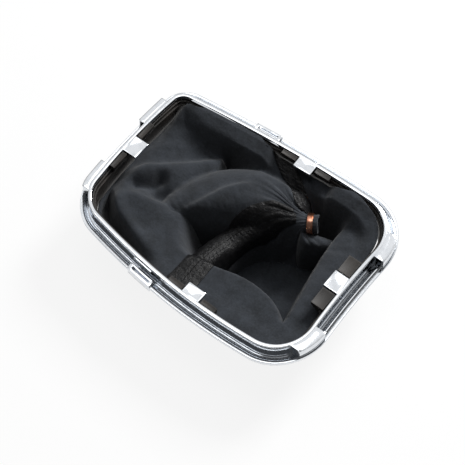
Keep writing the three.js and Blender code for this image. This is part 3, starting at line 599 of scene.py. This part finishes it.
def ranged(tree, factor, to_min, to_max, low=0.0, high=1.0):
    """Goes from to_min to to_max as factor goes from low to high."""
    return node(tree, "MapRange", {"Value": factor, "From Min": low, "From Max": high,
                                             "To Min": to_min, "To Max": to_max}).outputs["Result"]


def two_tones(tree, first, second, factor, low, high):
    """Goes from one colour to another as factor goes from low to high."""
    return node(tree, "Mix", {"Factor": ranged(tree, factor, 0.0, 1.0, low, high), "A": colour(first),
                                        "B": colour(second)}, data_type="RGBA").outputs["Result"]


def bumps(tree, *layers):
    """Layers of bump, each a height with its strength and its depth in metres."""
    below = {}
    for height, strength, depth in layers:
        made = node(tree, "Bump", {"Height": height, "Strength": strength, "Distance": depth, **below})
        below = {"Normal": made.outputs["Normal"]}
    return below["Normal"]


def suede_material(looks):
    # Split hide, buffed: matt, with a short nap that lies in clouds a few millimetres wide
    material, tree, shader, place = new_material("buffed_suede")
    cloud = noise(tree, place, 0.009, 3.0, 0.6)
    nap = noise(tree, place, 0.0011, 4.0, 0.7)
    soft = noise(tree, place, 0.006, 2.0)
    both = node(tree, "Math", {0: cloud, 1: nap}, operation="ADD").outputs[0]
    feed(tree, shader, {
        "Base Color": two_tones(tree, looks.suede_dark, looks.suede_light, both, 0.75, 1.25),
        "Normal": bumps(tree, (nap, 0.35, 0.0002), (soft, 0.5, 0.0012)),
        "Roughness": 0.95, "Specular IOR Level": 0.2, "Sheen Weight": 0.12, "Sheen Roughness": 0.6})
    return material


def grain_material(looks):
    # Pigmented grain side of the hide: black, waxed, with pebbles of about a millimetre
    material, tree, shader, place = new_material("grained_leather")
    pebbles = node(tree, "TexVoronoi", {"Vector": place, "Scale": 1 / 0.0011, "Randomness": 1.0})
    creased = noise(tree, place, 0.0035, 5.0, 0.65)
    feed(tree, shader, {
        "Base Color": two_tones(tree, looks.grain_dark, looks.grain_light, creased, 0.35, 0.7),
        "Normal": bumps(tree, (pebbles.outputs["Distance"], 0.6, 0.00025), (creased, 0.8, 0.0012)),
        "Roughness": ranged(tree, creased, 0.42, 0.6), "Specular IOR Level": 0.3})
    return material


def chrome_material(looks):
    # Bright plating on moulded ABS: a mirror that waves a little and is dulled in clouds
    material, tree, shader, place = new_material("chrome_plating")
    wave = noise(tree, place, 0.012, 2.0)
    haze = noise(tree, place, 0.004, 5.0, 0.6)
    feed(tree, shader, {
        "Base Color": two_tones(tree, looks.chrome_dull, looks.chrome, haze, 0.25, 0.55),
        "Normal": bumps(tree, (wave, 0.12, 0.0005)),
        "Roughness": ranged(tree, haze, 0.13, 0.09, 0.3, 0.7), "Metallic": 1.0})
    return material


def nylon_material(looks):
    # Injection moulded black nylon: low sheen, from the spark-eroded mould's fine texture
    material, tree, shader, place = new_material("moulded_nylon")
    texture = noise(tree, place, 0.0006, 3.0)
    flow = noise(tree, place, 0.015, 2.0)
    feed(tree, shader, {
        "Base Color": two_tones(tree, looks.nylon_dark, looks.nylon, flow, 0.3, 0.65),
        "Normal": bumps(tree, (texture, 0.3, 0.0001)),
        "Roughness": ranged(tree, flow, 0.5, 0.68)})
    return material


def copper_material(looks):
    # Rolled steel ring with a copper plating, slightly browned
    material, tree, shader, place = new_material("copper_plating")
    tarnish = noise(tree, place, 0.003, 4.0)
    feed(tree, shader, {
        "Base Color": two_tones(tree, looks.copper_brown, looks.copper, tarnish, 0.3, 0.55),
        "Roughness": ranged(tree, tarnish, 0.34, 0.18), "Metallic": 1.0})
    return material


def thread_material(looks):
    # Bonded polyester thread, twisted: the twist shows as fine slanting bands
    material, tree, shader, place = new_material("bonded_thread")
    twist = node(tree, "TexWave", {"Vector": place, "Scale": 1 / 0.0022, "Distortion": 1.0},
                 bands_direction="DIAGONAL").outputs["Fac"]
    feed(tree, shader, {
        "Base Color": two_tones(tree, looks.thread_dark, looks.thread, twist, 0.0, 1.0),
        "Normal": bumps(tree, (twist, 0.5, 0.0001)),
        "Roughness": 0.7, "Specular IOR Level": 0.25})
    return material


def linked(name, data):
    """A new object in the scene."""
    made = bpy.data.objects.new(name, data)
    bpy.context.scene.collection.objects.link(made)
    return made


def alone(piece):
    bpy.ops.object.select_all(action="DESELECT")
    piece.select_set(True)
    bpy.context.view_layer.objects.active = piece


def edit(piece, kind, pick, operator, **settings):
    """Selects the faces or vertices that pick names, and runs one edit-mode operator on them."""
    alone(piece)
    bpy.ops.object.mode_set(mode="EDIT")
    bpy.ops.mesh.select_mode(type=kind)
    bpy.ops.mesh.select_all(action="DESELECT")
    bpy.ops.object.mode_set(mode="OBJECT")
    for item in piece.data.polygons if kind == "FACE" else piece.data.vertices:
        item.select = pick(item)
    bpy.ops.object.mode_set(mode="EDIT")
    operator(**settings)
    bpy.ops.object.mode_set(mode="OBJECT")


def finish_with(piece, kind, **settings):
    """Adds a modifier to a piece and applies it."""
    alone(piece)
    modifier = piece.modifiers.new(kind.lower(), kind)
    for key, value in settings.items():
        setattr(modifier, key, value)
    bpy.ops.object.modifier_apply(modifier=modifier.name)


def cube(name, low, high):
    """A box from its low and high corners, in millimetres, with its place in its mesh."""
    middle = [(a + b) / 2 * MM for a, b in zip(low, high)]
    bpy.ops.mesh.primitive_cube_add(size=1, location=middle)
    piece = bpy.context.object
    piece.name = name
    piece.scale = [(b - a) * MM for a, b in zip(low, high)]
    bpy.ops.object.transform_apply()
    return piece


def cut(piece, tool, operation):
    finish_with(piece, "BOOLEAN", object=tool, operation=operation, solver="EXACT")
    bpy.data.objects.remove(tool)


def bevel(piece, width, segments=2):
    finish_with(piece, "BEVEL", width=width * MM, segments=segments, limit_method="ANGLE",
                angle_limit=math.radians(40))


def join(pieces, name):
    alone(pieces[0])
    for piece in pieces[1:]:
        piece.select_set(True)
    bpy.ops.object.join()
    whole = bpy.context.object
    whole.name = name
    whole.data.name = name
    return whole


def mesh_object(name, vertices, faces, outwards=True):
    """A piece from places in millimetres and lists of their indices."""
    mesh = bpy.data.meshes.new(name)
    mesh.from_pydata((vertices * MM).tolist(), [], faces)
    if outwards:
        shape = bmesh.new()
        shape.from_mesh(mesh)
        bmesh.ops.recalc_face_normals(shape, faces=shape.faces)
        shape.to_mesh(mesh)
        shape.free()
    return linked(name, mesh)


def sweep(name, section, arc_steps=20, side_steps=30):
    """Carries a section round the surround's outline: each place is a share, an extra and a height."""
    loops = [outline(share, extra, arc_steps, side_steps) for share, extra, _ in section]
    heights = [np.full(len(loops[0]), z + LIP_HEIGHT) for _, _, z in section]
    vertices = np.concatenate([np.column_stack([loop, z]) for loop, z in zip(loops, heights)])
    count = len(loops[0])
    j, i = np.meshgrid(np.arange(len(section)), np.arange(count), indexing="ij")
    after_j, after_i = (j + 1) % len(section), (i + 1) % count
    faces = np.stack([j * count + i, j * count + after_i, after_j * count + after_i, after_j * count + i], -1)
    return mesh_object(name, vertices, faces.reshape(-1, 4).tolist())


def rim_band(from_share, to_share, low, high, extra=0.0):
    """A band along the rim, with which boxes are cut to its shape."""
    return sweep("band", [(from_share, 0, low), (from_share, 0, high), (to_share, extra, high),
                          (to_share, extra, low)])


def edge_at(axis, value, sign):
    """Where the wall's outer face meets a line across the part, with the direction inwards there."""
    loop = outline(1)
    for a, b in zip(loop, np.roll(loop, -1, 0)):
        crosses = (a[axis] - value) * (b[axis] - value) <= 0 and a[axis] != b[axis]
        if crosses and np.sign(a[1 - axis]) == sign:
            tangent = unit(b - a)
            return mix(a, b, (value - a[axis]) / (b[axis] - a[axis])), np.array([-tangent[1], tangent[0]])
    raise ValueError("the outline has no edge there")


# Clips: their seat, their reach over the carrier, and the length and depth of the lugs beside them
SEATS = (
    (edge_at(0, SIDE_CLIP_X, -1), SIDE_CLIP_REACH, SIDE_LUG_LENGTH, SIDE_LUG_REACH),
    (edge_at(0, SIDE_CLIP_X, 1), SIDE_CLIP_REACH, SIDE_LUG_LENGTH, SIDE_LUG_REACH),
    (edge_at(1, END_CLIP_Y, -1), END_CLIP_REACH, END_LUG_LENGTH, SIDE_LUG_REACH),
    (edge_at(1, END_CLIP_Y, 1), END_CLIP_REACH, END_LUG_LENGTH, END_LUG_REACH),
)


def seat_on_wall(piece, seat):
    """Puts a piece, made with X inwards and Y along the wall, at its seat on the wall."""
    point, inwards = seat
    along = (-inwards[1], inwards[0])
    turn = Matrix(((inwards[0], along[0], 0), (inwards[1], along[1], 0), (0, 0, 1))).to_4x4()
    alone(piece)
    piece.matrix_world = Matrix.Translation((point[0] * MM, point[1] * MM, LIP_HEIGHT * MM)) @ turn
    bpy.ops.object.transform_apply()


def make_clip(seat, reach):
    """A hook that bridges the gap from the wall to the carrier, with a barb at its tip."""
    tip = WALL_THICKNESS + reach
    barb = tip - CLIP_BARB_LENGTH
    half = CLIP_WIDTH / 2
    piece = cube("clip", (0.05, -half, WALL_RISE - CLIP_THICKNESS), (tip, half, WALL_RISE))
    for x in (WALL_THICKNESS, barb):
        edit(piece, "FACE", lambda face: True,
             bpy.ops.mesh.bisect, plane_co=(x * MM, 0, 0), plane_no=(1, 0, 0))
    edit(piece, "FACE", lambda face: face.normal.z < -0.9 and face.center.x < WALL_THICKNESS * MM,
         bpy.ops.mesh.extrude_region_move, TRANSFORM_OT_translate={"value": (0, 0, -CLIP_ROOT * MM)})
    edit(piece, "FACE", lambda face: face.normal.z < -0.9 and face.center.x > barb * MM,
         bpy.ops.mesh.extrude_region_move, TRANSFORM_OT_translate={"value": (0, 0, -CLIP_BARB * MM)})
    edit(piece, "FACE", lambda face: face.normal.z > 0.9 and WALL_THICKNESS * MM < face.center.x < barb * MM,
         bpy.ops.mesh.inset, thickness=0.9 * MM, depth=-0.25 * MM)
    bevel(piece, EDGE_BEVEL)
    seat_on_wall(piece, seat)
    return piece


def make_lug(seat, length, depth, sign):
    """A block on the carrier that stands beside a clip, sloped below towards the carrier's wall."""
    outer = WALL_THICKNESS + FIT_GAP
    top = WALL_RISE - LUG_DROP
    slope_z = (top - LUG_SLOPE_FROM) * MM
    start = sign * (CLIP_WIDTH / 2 + LUG_GAP)
    y = sorted((start, start + sign * length))
    piece = cube("lug", (outer + 0.15, y[0], -1), (outer + depth, y[1], top))
    edit(piece, "FACE", lambda face: True,
         bpy.ops.mesh.bisect, plane_co=(0, 0, slope_z), plane_no=(0, 0, 1))
    edit(piece, "VERT", lambda v: v.co.z < 0 and v.co.x > (outer + 1) * MM,
         bpy.ops.transform.translate, value=(-(depth - CARRIER_THICKNESS) * MM, 0, 0))
    edit(piece, "FACE", lambda face: face.normal.z > 0.9,
         bpy.ops.mesh.inset, thickness=0.8 * MM, depth=-0.4 * MM)
    bevel(piece, 0.25)
    seat_on_wall(piece, seat)
    return piece


def rim_block(name, x, y, *band):
    """A block between two X and two Y, cut to the shape of a band along the rim."""
    block = cube(name, (x[0], y[0], 0), (x[1], y[1], LENGTH))
    cut(block, rim_band(*band), "INTERSECT")
    return block


def make_pad(x, y, slot_at_low):
    """A flat pad across the trough, with a slot in the end that faces the middle of the part."""
    pad = rim_block("pad", x, y, PAD_OUTER_SHARE, 1, -TROUGH_DEPTH - 0.5, WALL_RISE, 0.4)
    slot_y = (y[0] - 1, y[0] + PAD_SLOT_DEPTH) if slot_at_low else (y[1] - PAD_SLOT_DEPTH, y[1] + 1)
    slot = rim_block("slot", x, slot_y, PAD_OUTER_SHARE + 0.2, 0.84, -TROUGH_DEPTH + PAD_SLOT_WALL,
                     WALL_RISE - PAD_SLOT_WALL)
    cut(pad, slot, "DIFFERENCE")
    bevel(pad, EDGE_BEVEL)
    return pad


def make_snap(side):
    """A snap block in the trough with a recess in its top, and the ledge on the wall above it."""
    y = (-LENGTH, 0) if side < 0 else (0, LENGTH)
    block = rim_block("snap", BLOCK_X, y, 0.0, BLOCK_SHARE, -TROUGH_DEPTH, BLOCK_RISE)
    recess_x = (BLOCK_X[0] + 2, BLOCK_X[1] - 2)
    recess = rim_block("recess", recess_x, y, 0.2, BLOCK_SHARE - 0.18, -TROUGH_DEPTH + 1.5, BLOCK_RISE + 2)
    cut(block, recess, "DIFFERENCE")
    ledge = cube("ledge", (LEDGE_X[0], y[0], 0), (LEDGE_X[1], y[1], LENGTH))
    ring = sweep("ledge_ring", [(1, 0.5, LEDGE_Z[0]), (1, -LEDGE_DEPTH, LEDGE_Z[0] + LEDGE_DEPTH / 2),
                                (1, -LEDGE_DEPTH, LEDGE_Z[1]), (1, 0.5, LEDGE_Z[1])])
    cut(ledge, ring, "INTERSECT")
    bevel(block, EDGE_BEVEL)
    bevel(ledge, 0.2)
    return [block, ledge]


def rounded_edge(face, top, inwards=1):
    """The places that round off the top edge of a wall's face."""
    return [(1, face + inwards * step, top - down) for step, down in ROUND_EDGE[::inwards]]


def build_surround(scene):
    inner = WALL_THICKNESS + FIT_GAP + CARRIER_THICKNESS
    flange = -FACE_DEPTH + FACE_THICKNESS
    wall = WALL_THICKNESS
    start, end, drop = TROUGH_BEND
    trough = [(start + (end - start) * t, LIP_THICKNESS * (1 - t),
               -drop - (TROUGH_DEPTH - drop) * math.sin(t * math.pi / 2)) for t in np.linspace(0, 1, 10)]
    ring = sweep("surround", [
        (0, 0.0, -0.8), (0, 0.1, -0.25), (0, 0.35, 0), (0, LIP_THICKNESS - 0.3, 0),
        (0, LIP_THICKNESS - 0.08, -0.1), (0, LIP_THICKNESS, -0.4),
        *trough, (0.97, 0, -TROUGH_DEPTH), (1, 0, -TROUGH_DEPTH + 0.3),
        *rounded_edge(0, WALL_RISE), *rounded_edge(wall, WALL_RISE, -1),
        (1, wall, flange), (1, inner - 0.4, flange), (1, inner, flange - 0.5),
        (1, inner, -FACE_DEPTH + 0.7), (1, inner - 0.25, -FACE_DEPTH + 0.2), (1, inner - 0.8, -FACE_DEPTH),
        (1, 0, -FACE_DEPTH + 0.3), *((share, 0, -FACE_DEPTH * depth) for share, depth in FACE_CURVE),
        (0, 0.25, -FACE_DEPTH * 0.17)], *RING_STEPS)
    pieces = [ring] + [make_clip(seat, reach) for seat, reach, _, _ in SEATS]
    for x, (low, high) in (((-LENGTH, -LENGTH / 4), NARROW_PAD), ((LENGTH / 4, LENGTH), WIDE_PAD)):
        pieces.append(make_pad(x, (low, high), True))
        pieces.append(make_pad(x, (-high, -low), False))
    for side in (-1, 1):
        pieces.extend(make_snap(side))
    bead = sweep("bead", [(BEAD_SHARE, BEAD_RADIUS * math.cos(t), BEAD_RADIUS * math.sin(t) - BEAD_DROP)
                          for t in np.linspace(0, math.pi, 9)]
                 + [(BEAD_SHARE, -BEAD_RADIUS, -TROUGH_DEPTH * 0.7 - BEAD_DROP),
                    (BEAD_SHARE, BEAD_RADIUS, -TROUGH_DEPTH - 0.2)])
    span = cube("span", (LENGTH / 4, -WIDE_PAD[0] - 1, 0), (LENGTH, WIDE_PAD[0] + 1, LENGTH))
    cut(bead, span, "INTERSECT")
    whole = join(pieces + [bead], "surround_chromed")
    dress(whole, chrome_material(scene.gaiter_looks), "chrome_plating", "chrome_surround", rigid=True)


def build_carrier(scene):
    outer = WALL_THICKNESS + FIT_GAP
    inner = outer + CARRIER_THICKNESS
    top = WALL_RISE - CLIP_THICKNESS - CARRIER_DROP
    step = top - CARRIER_STEP
    bottom = -FACE_DEPTH + FACE_THICKNESS + FIT_GAP
    ring = sweep("carrier", [
        *rounded_edge(outer, top), (1, outer + 0.75, top), (1, outer + 0.95, top - 0.15),
        (1, outer + 1.05, step + 0.2), (1, outer + 1.2, step), (1, inner - 0.25, step),
        (1, inner, step - 0.25), (1, inner, bottom), (1, outer, bottom)], *RING_STEPS)
    lugs = [make_lug(seat, length, depth, sign) for seat, _, length, depth in SEATS for sign in (-1, 1)]
    whole = join([ring] + lugs, "carrier_moulded")
    dress(whole, nylon_material(scene.gaiter_looks), "carrier_plastic", "carrier_frame", rigid=True)


def build_ring(scene):
    sizes = scene.gaiter_sizes
    inner = (NECK_RADIUS + PLEAT_HEIGHT + LEATHER / 2 + FIT_GAP) * MM
    middle = (NECK + NECK_AXIS * (NECK_ROOT + NECK_STUB * RING_PLACE) + (0, 0, LIP_HEIGHT)) * MM
    turn = Vector(NECK_AXIS).to_track_quat("Z", "Y").to_euler()
    bpy.ops.mesh.primitive_cylinder_add(vertices=72, radius=inner, depth=sizes.ring_width,
                                        end_fill_type="NOTHING", location=middle, rotation=turn)
    ring = bpy.context.object
    ring.name = "neck_ring_copper"
    bpy.ops.object.transform_apply()
    finish_with(ring, "SOLIDIFY", thickness=sizes.ring_thickness, offset=1.0)
    bevel(ring, 0.25, 3)
    dress(ring, copper_material(scene.gaiter_looks), "copper_plating", "neck_ring", rigid=True)


def dress(piece, material, slot, *replaced, rigid=False):
    """Gives a piece its material and shading, hides the CAD parts that it replaces, and hangs it on the root
    body.
    """
    piece.data.materials.clear()
    piece.data.materials.append(material)
    alone(piece)
    if rigid:
        bpy.ops.object.shade_smooth_by_angle(angle=math.radians(35))
    else:
        bpy.ops.object.shade_smooth()
    if replaced:
        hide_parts(*replaced)
    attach(piece, "root")


def shell(name, upper, lower):
    """A closed sheet from the grids of its two faces."""
    rows, columns = upper.shape[:2]
    lift = np.array([0, 0, LIP_HEIGHT])
    index = np.arange(rows * columns).reshape(rows, columns)
    a, b, c, d = index[:-1, :-1], index[:-1, 1:], index[1:, 1:], index[1:, :-1]
    top = np.stack([a, b, c, d], -1).reshape(-1, 4)
    bottom = np.stack([a, d, c, b], -1).reshape(-1, 4) + index.size
    rim = np.concatenate([index[0, :-1], index[:-1, -1], index[-1, :0:-1], index[:0:-1, 0]])
    after = np.roll(rim, -1)
    sides = np.stack([rim, rim + index.size, after + index.size, after], -1)
    vertices = np.vstack([(upper + lift).reshape(-1, 3), (lower + lift).reshape(-1, 3)])
    return mesh_object(name, vertices, np.vstack([top, bottom, sides]).tolist())


def make_panel(name, from_s, to_s):
    """A leather panel from one seam to the other, given by their places along the sock's edge."""
    columns, rows = 210, 200
    s = np.linspace(from_s, to_s, columns + 1)
    points, normals, square = sock_surface(s[None].repeat(rows + 1, 0), even_rows(s, rows))
    points[:, 0] += square[:, 0] * SEAM_GAP / 2
    points[:, -1] -= square[:, -1] * SEAM_GAP / 2
    return shell(name, points + normals * LEATHER / 2, points - normals * LEATHER / 2)


def allowance_rows(seam, side, width, rows):
    """Where an allowance lies: it keeps its width as the panel narrows towards the neck."""
    downs = even_rows(np.array([seam + side * 2.0] * 9), rows, STRIP_END)[:, :1]
    reach = math.hypot(*(TRACK.at(seam) - NECK[:2]))
    across = np.linspace(0, 1, STRIP_COLUMNS)[None]
    widened = np.minimum(reach / radius_at(reach, downs), STRIP_SPREAD)
    s = seam + side * (STRIP_START + across * width * widened)
    return s, downs.repeat(STRIP_COLUMNS, 1), across


def make_allowance(name, seam, side, width):
    """The panel's border, folded back flat on the suede with its grain side up."""
    s, downs, across = allowance_rows(seam, side, width, 240)
    points, normals, _ = sock_surface(s, downs)
    body = STRIP_BODY - STRIP_THINNED * ease(*STRIP_EDGE, across)
    body = body + STRIP_WAVE * np.sin(downs * STRIP_WAVES) * across
    low = LEATHER / 2 + SUEDE_GAP
    return shell(name, points + normals * (low + body)[..., None], points + normals * low)


def make_stitches(name, seam, sizes):
    """One stitch is modelled and copied along both sides of a seam, sunk into the allowance."""
    pitch = sizes.stitch_pitch / MM
    length = sizes.stitch_length / MM
    bpy.ops.mesh.primitive_uv_sphere_add(segments=8, ring_count=6, radius=0.5)
    pattern = bpy.context.object
    ball = np.array([v.co[:] for v in pattern.data.vertices])
    faces = [tuple(face.vertices) for face in pattern.data.polygons]
    bpy.data.objects.remove(pattern)
    vertices, all_faces = [], []
    middle = STRIP_COLUMNS // 2
    for side in (-1, 1):
        s, downs, _ = allowance_rows(seam, side, STITCH_INSET * 2, 400)
        points, normals, _ = sock_surface(s[:, middle:middle + 1], downs[:, middle:middle + 1])
        path = (points + normals * (LEATHER / 2 + STITCH_LIFT))[:, 0]
        lengths = np.concatenate([[0], np.cumsum(np.linalg.norm(np.diff(path, axis=0), axis=1))])

        def on_path(place, line):
            return np.array([np.interp(place, lengths, line[:, k]) for k in range(3)])

        for start in np.arange(STITCH_MARGIN, lengths[-1] - STITCH_MARGIN, pitch):
            at = on_path(start, path)
            after = on_path(start + length, path)
            along = unit(after - at)
            across = unit(np.cross(on_path(start, normals[:, 0]), along))
            basis = np.stack([along * length, across * THREAD_WIDTH, np.cross(along, across) * THREAD_HEIGHT])
            all_faces += [tuple(i + len(vertices) * len(ball) for i in face) for face in faces]
            vertices.append(ball @ basis + (at + after) / 2 + (0, 0, LIP_HEIGHT))
    return mesh_object(name, np.concatenate(vertices), all_faces, outwards=False)


def build_sock(scene):
    sizes, looks = scene.gaiter_sizes, scene.gaiter_looks
    suede, grain, thread = suede_material(looks), grain_material(looks), thread_material(looks)
    near, far = TRACK.near, TRACK.far
    near_end = near + TRACK.total if near < far else near
    extras = {}
    for name, seam, side in (("wide_near", near, 1), ("wide_far", far, -1), ("narrow_far", far, 1),
                             ("narrow_near", near, -1)):
        extras[name] = make_allowance("allowance_" + name, seam, side, sizes.allowance_width / MM)
        dress(extras[name], grain, "gaiter_leather")
    for name, seam in (("stitches_near", near), ("stitches_far", far)):
        extras[name] = make_stitches(name, seam, sizes)
        dress(extras[name], thread, "gaiter_leather")
    for name, span, width, length, flat_area, mine in (
            ("wide", (near, far), 0.235, 0.115, 0.0150, ("wide_near", "wide_far", "stitches_near")),
            ("narrow", (far, near_end), 0.235, 0.125, 0.0155, ("narrow_far", "narrow_near", "stitches_far"))):
        panel = make_panel("sock_panel_" + name + "_leather", *span)
        dress(panel, suede, "gaiter_leather", "sock_panel_" + name)


def build_camera(scene):
    camera = linked("camera", bpy.data.cameras.new("camera"))
    scene.camera = camera
    a, e = math.radians(CAMERA_AZIMUTH), math.radians(CAMERA_ELEVATION)
    back = Vector((math.sin(a) * math.cos(e), -math.cos(a) * math.cos(e), math.sin(e)))
    right = Vector((math.cos(a), math.sin(a), 0))
    up = back.cross(right)
    half_view = math.tan(math.radians(CAMERA_VIEW_DEG / 2))
    focal = IMAGE_SIZE / 2 / half_view
    per_px = CAMERA_DISTANCE / focal
    start = Vector((-OUTLINE_CENTRE[0], -OUTLINE_CENTRE[1], LIP_HEIGHT))
    shift = right * (IMAGE_SIZE / 2 - ORIGIN_PX[0]) * per_px
    shift += up * (ORIGIN_PX[1] - IMAGE_SIZE / 2) * per_px
    turn = Matrix((right, up, back)).transposed().to_4x4()
    camera.matrix_world = Matrix.Translation((start + back * CAMERA_DISTANCE + shift) * MM) @ turn
    camera.data.sensor_width = SENSOR_WIDTH
    camera.data.lens = SENSOR_WIDTH / 2 / half_view
    camera.data.clip_start = 0.05
    camera.data.clip_end = 20.0


def area_lamp(name, place, size, power):
    lamp = linked(name, bpy.data.lights.new(name, "AREA"))
    lamp.data.shape = "SQUARE"
    lamp.data.size = size
    lamp.data.energy = power
    lamp.location = place
    lamp.rotation_euler = (-Vector(place)).to_track_quat("-Z", "Y").to_euler()


def seen_directly(tree):
    """1 for what the camera sees, straight, mirrored or through glass, and 0 for light on the object."""
    path = node(tree, "LightPath", {}).outputs
    seen = path["Is Camera Ray"]
    for other in ("Is Glossy Ray", "Is Transmission Ray"):
        seen = node(tree, "Math", {0: seen, 1: path[other]}, operation="MAXIMUM").outputs[0]
    return seen


def build_stage(scene):
    stage = scene.gaiter_stage
    build_camera(scene)
    scene.view_settings.view_transform = "Standard"
    world = bpy.data.worlds.new("studio")
    scene.world = world
    world.use_nodes = True
    # A large diffuser hangs behind and above the part, and the rest of the room is dim
    tree = world.node_tree
    towards = node(tree, "TexCoord", {}).outputs["Generated"]
    facing = node(tree, "VectorMath", {0: towards, 1: DIFFUSER_TOWARDS}, operation="DOT_PRODUCT")
    strength = node(tree, "MapRange", {
        "Value": facing.outputs["Value"], "From Min": DIFFUSER_EDGE[0], "From Max": DIFFUSER_EDGE[1],
        "To Min": stage.ambient, "To Max": 1.0}, interpolation_type="SMOOTHSTEP")
    feed(tree, tree.nodes["Background"], {"Color": (1, 1, 1, 1), "Strength": strength.outputs["Result"]})
    bpy.ops.mesh.primitive_plane_add(size=FLOOR_SIZE, location=(0, 0, -FLOOR_DROP))
    floor = bpy.context.object
    floor.name = "floor"
    bpy.ops.object.transform_apply(location=True)
    # White paper roll: it glows a little for the camera, so that it stays white and keeps a faint shadow
    paper, tree, shader, _ = new_material("paper_roll")
    feed(tree, shader, {"Base Color": colour(stage.floor_colour), "Roughness": 0.9})
    glow = node(tree, "Emission", {"Color": (1, 1, 1, 1), "Strength": 1.0})
    share = node(tree, "Math", {0: seen_directly(tree), 1: stage.floor_glow}, operation="MULTIPLY")
    both = node(tree, "MixShader", {"Fac": share.outputs[0], 1: shader.outputs["BSDF"],
                                              2: glow.outputs["Emission"]})
    feed(tree, tree.nodes["Material Output"], {"Surface": both.outputs["Shader"]})
    floor.data.materials.append(paper)
    for name, place, size in LAMPS:
        area_lamp(name, place, size, getattr(stage, name + "_power"))


def shade(name, hex_colour):
    return FloatVectorProperty(name=name, description=name + " colour", subtype="COLOR", size=3, min=0.0,
                               max=1.0, default=linear(hex_colour))


def length(name, description, millimetres):
    return FloatProperty(name=name, description=description, subtype="DISTANCE", unit="LENGTH",
                         default=millimetres * MM)


def power(name, place, watts):
    return FloatProperty(name=name, description="Power of the lamp " + place, subtype="POWER", unit="POWER",
                         default=watts)


class GaiterSizes(bpy.types.PropertyGroup):
    allowance_width: length("Seam allowance", "Width of leather that is folded back beside each seam", 8.5)
    stitch_pitch: length("Stitch pitch", "Distance from one stitch to the next", 4.0)
    stitch_length: length("Stitch length", "Length of thread that shows in each stitch", 3.0)
    ring_width: length("Ring width", "Width of the copper ring along the neck", 3.6)
    ring_thickness: length("Ring thickness", "Thickness of the copper ring", 0.6)


class GaiterLooks(bpy.types.PropertyGroup):
    suede_dark: shade("Suede, brushed down", "#24272b")
    suede_light: shade("Suede, brushed up", "#33373d")
    grain_dark: shade("Grain, low", "#070708")
    grain_light: shade("Grain, high", "#0f0f11")
    chrome_dull: shade("Chrome, dulled", "#cfd3d8")
    chrome: shade("Chrome", "#dfe2e6")
    nylon_dark: shade("Nylon, dark", "#191715")
    nylon: shade("Nylon", "#2b2622")
    copper_brown: shade("Copper, browned", "#a8684c")
    copper: shade("Copper", "#e0a58a")
    thread_dark: shade("Thread, dark", "#0c0d0f")
    thread: shade("Thread", "#1d2024")


class GaiterStage(bpy.types.PropertyGroup):
    key_power: power("Key power", "behind the part", 19.0)
    fill_power: power("Fill power", "before the part", 1.8)
    ambient: FloatProperty(name="Ambient", description="Strength of the light from all round", default=0.1,
                           min=0.0)
    floor_glow: FloatProperty(name="Floor glow", description="How far the floor's shadow is lifted",
                              default=0.87, min=0.0, max=1.0)
    floor_colour: shade("Floor", "#f4f4f4")


class Builder:
    """What the operators have in common: each runs the build function of its piece."""

    def execute(self, context):
        self.build(context.scene)
        return {"FINISHED"}


class GAITER_OT_stage(Builder, bpy.types.Operator):
    """Sets up the camera, the floor, the lamps and the pale background"""
    bl_idname = "gaiter.stage"
    bl_label = "Stage and camera"
    build = staticmethod(build_stage)


class GAITER_OT_surround(Builder, bpy.types.Operator):
    """Makes the chromed surround with its clips, pads, snap blocks and bead"""
    bl_idname = "gaiter.surround"
    bl_label = "Chromed surround"
    build = staticmethod(build_surround)


class GAITER_OT_carrier(Builder, bpy.types.Operator):
    """Makes the nylon carrier frame with its lugs"""
    bl_idname = "gaiter.carrier"
    bl_label = "Carrier frame"
    build = staticmethod(build_carrier)


class GAITER_OT_sock(Builder, bpy.types.Operator):
    """Makes the two leather panels, their seam allowances and stitches"""
    bl_idname = "gaiter.sock"
    bl_label = "Leather sock"
    build = staticmethod(build_sock)


class GAITER_OT_ring(Builder, bpy.types.Operator):
    """Makes the copper ring round the neck"""
    bl_idname = "gaiter.ring"
    bl_label = "Neck ring"
    build = staticmethod(build_ring)


OPERATORS = (GAITER_OT_stage, GAITER_OT_surround, GAITER_OT_carrier, GAITER_OT_sock, GAITER_OT_ring)


class GAITER_PT_panel(bpy.types.Panel):
    """Lists the pieces of the gaiter"""
    bl_idname = "GAITER_PT_panel"
    bl_label = "Gear lever gaiter"
    bl_space_type = "VIEW_3D"
    bl_region_type = "UI"
    bl_category = "Gaiter"

    def draw(self, context):
        column = self.layout.column()
        for operator in OPERATORS:
            column.operator(operator.bl_idname)
        for key in GROUPS:
            group = getattr(context.scene, key)
            for name in group.bl_rna.properties.keys():
                if name not in ("rna_type", "name"):
                    column.prop(group, name)


GROUPS = {"gaiter_sizes": GaiterSizes, "gaiter_looks": GaiterLooks, "gaiter_stage": GaiterStage}
CLASSES = (*GROUPS.values(), *OPERATORS, GAITER_PT_panel)


def register():
    for each in CLASSES:
        bpy.utils.register_class(each)
    for key, group in GROUPS.items():
        setattr(bpy.types.Scene, key, PointerProperty(type=group))


def unregister():
    for key in GROUPS:
        delattr(bpy.types.Scene, key)
    for each in reversed(CLASSES):
        bpy.utils.unregister_class(each)


def main():
    register()
    bpy.ops.gaiter.stage()
    bpy.ops.gaiter.surround()
    bpy.ops.gaiter.carrier()
    bpy.ops.gaiter.sock()
    bpy.ops.gaiter.ring()


if __name__ == "__main__":
    main()
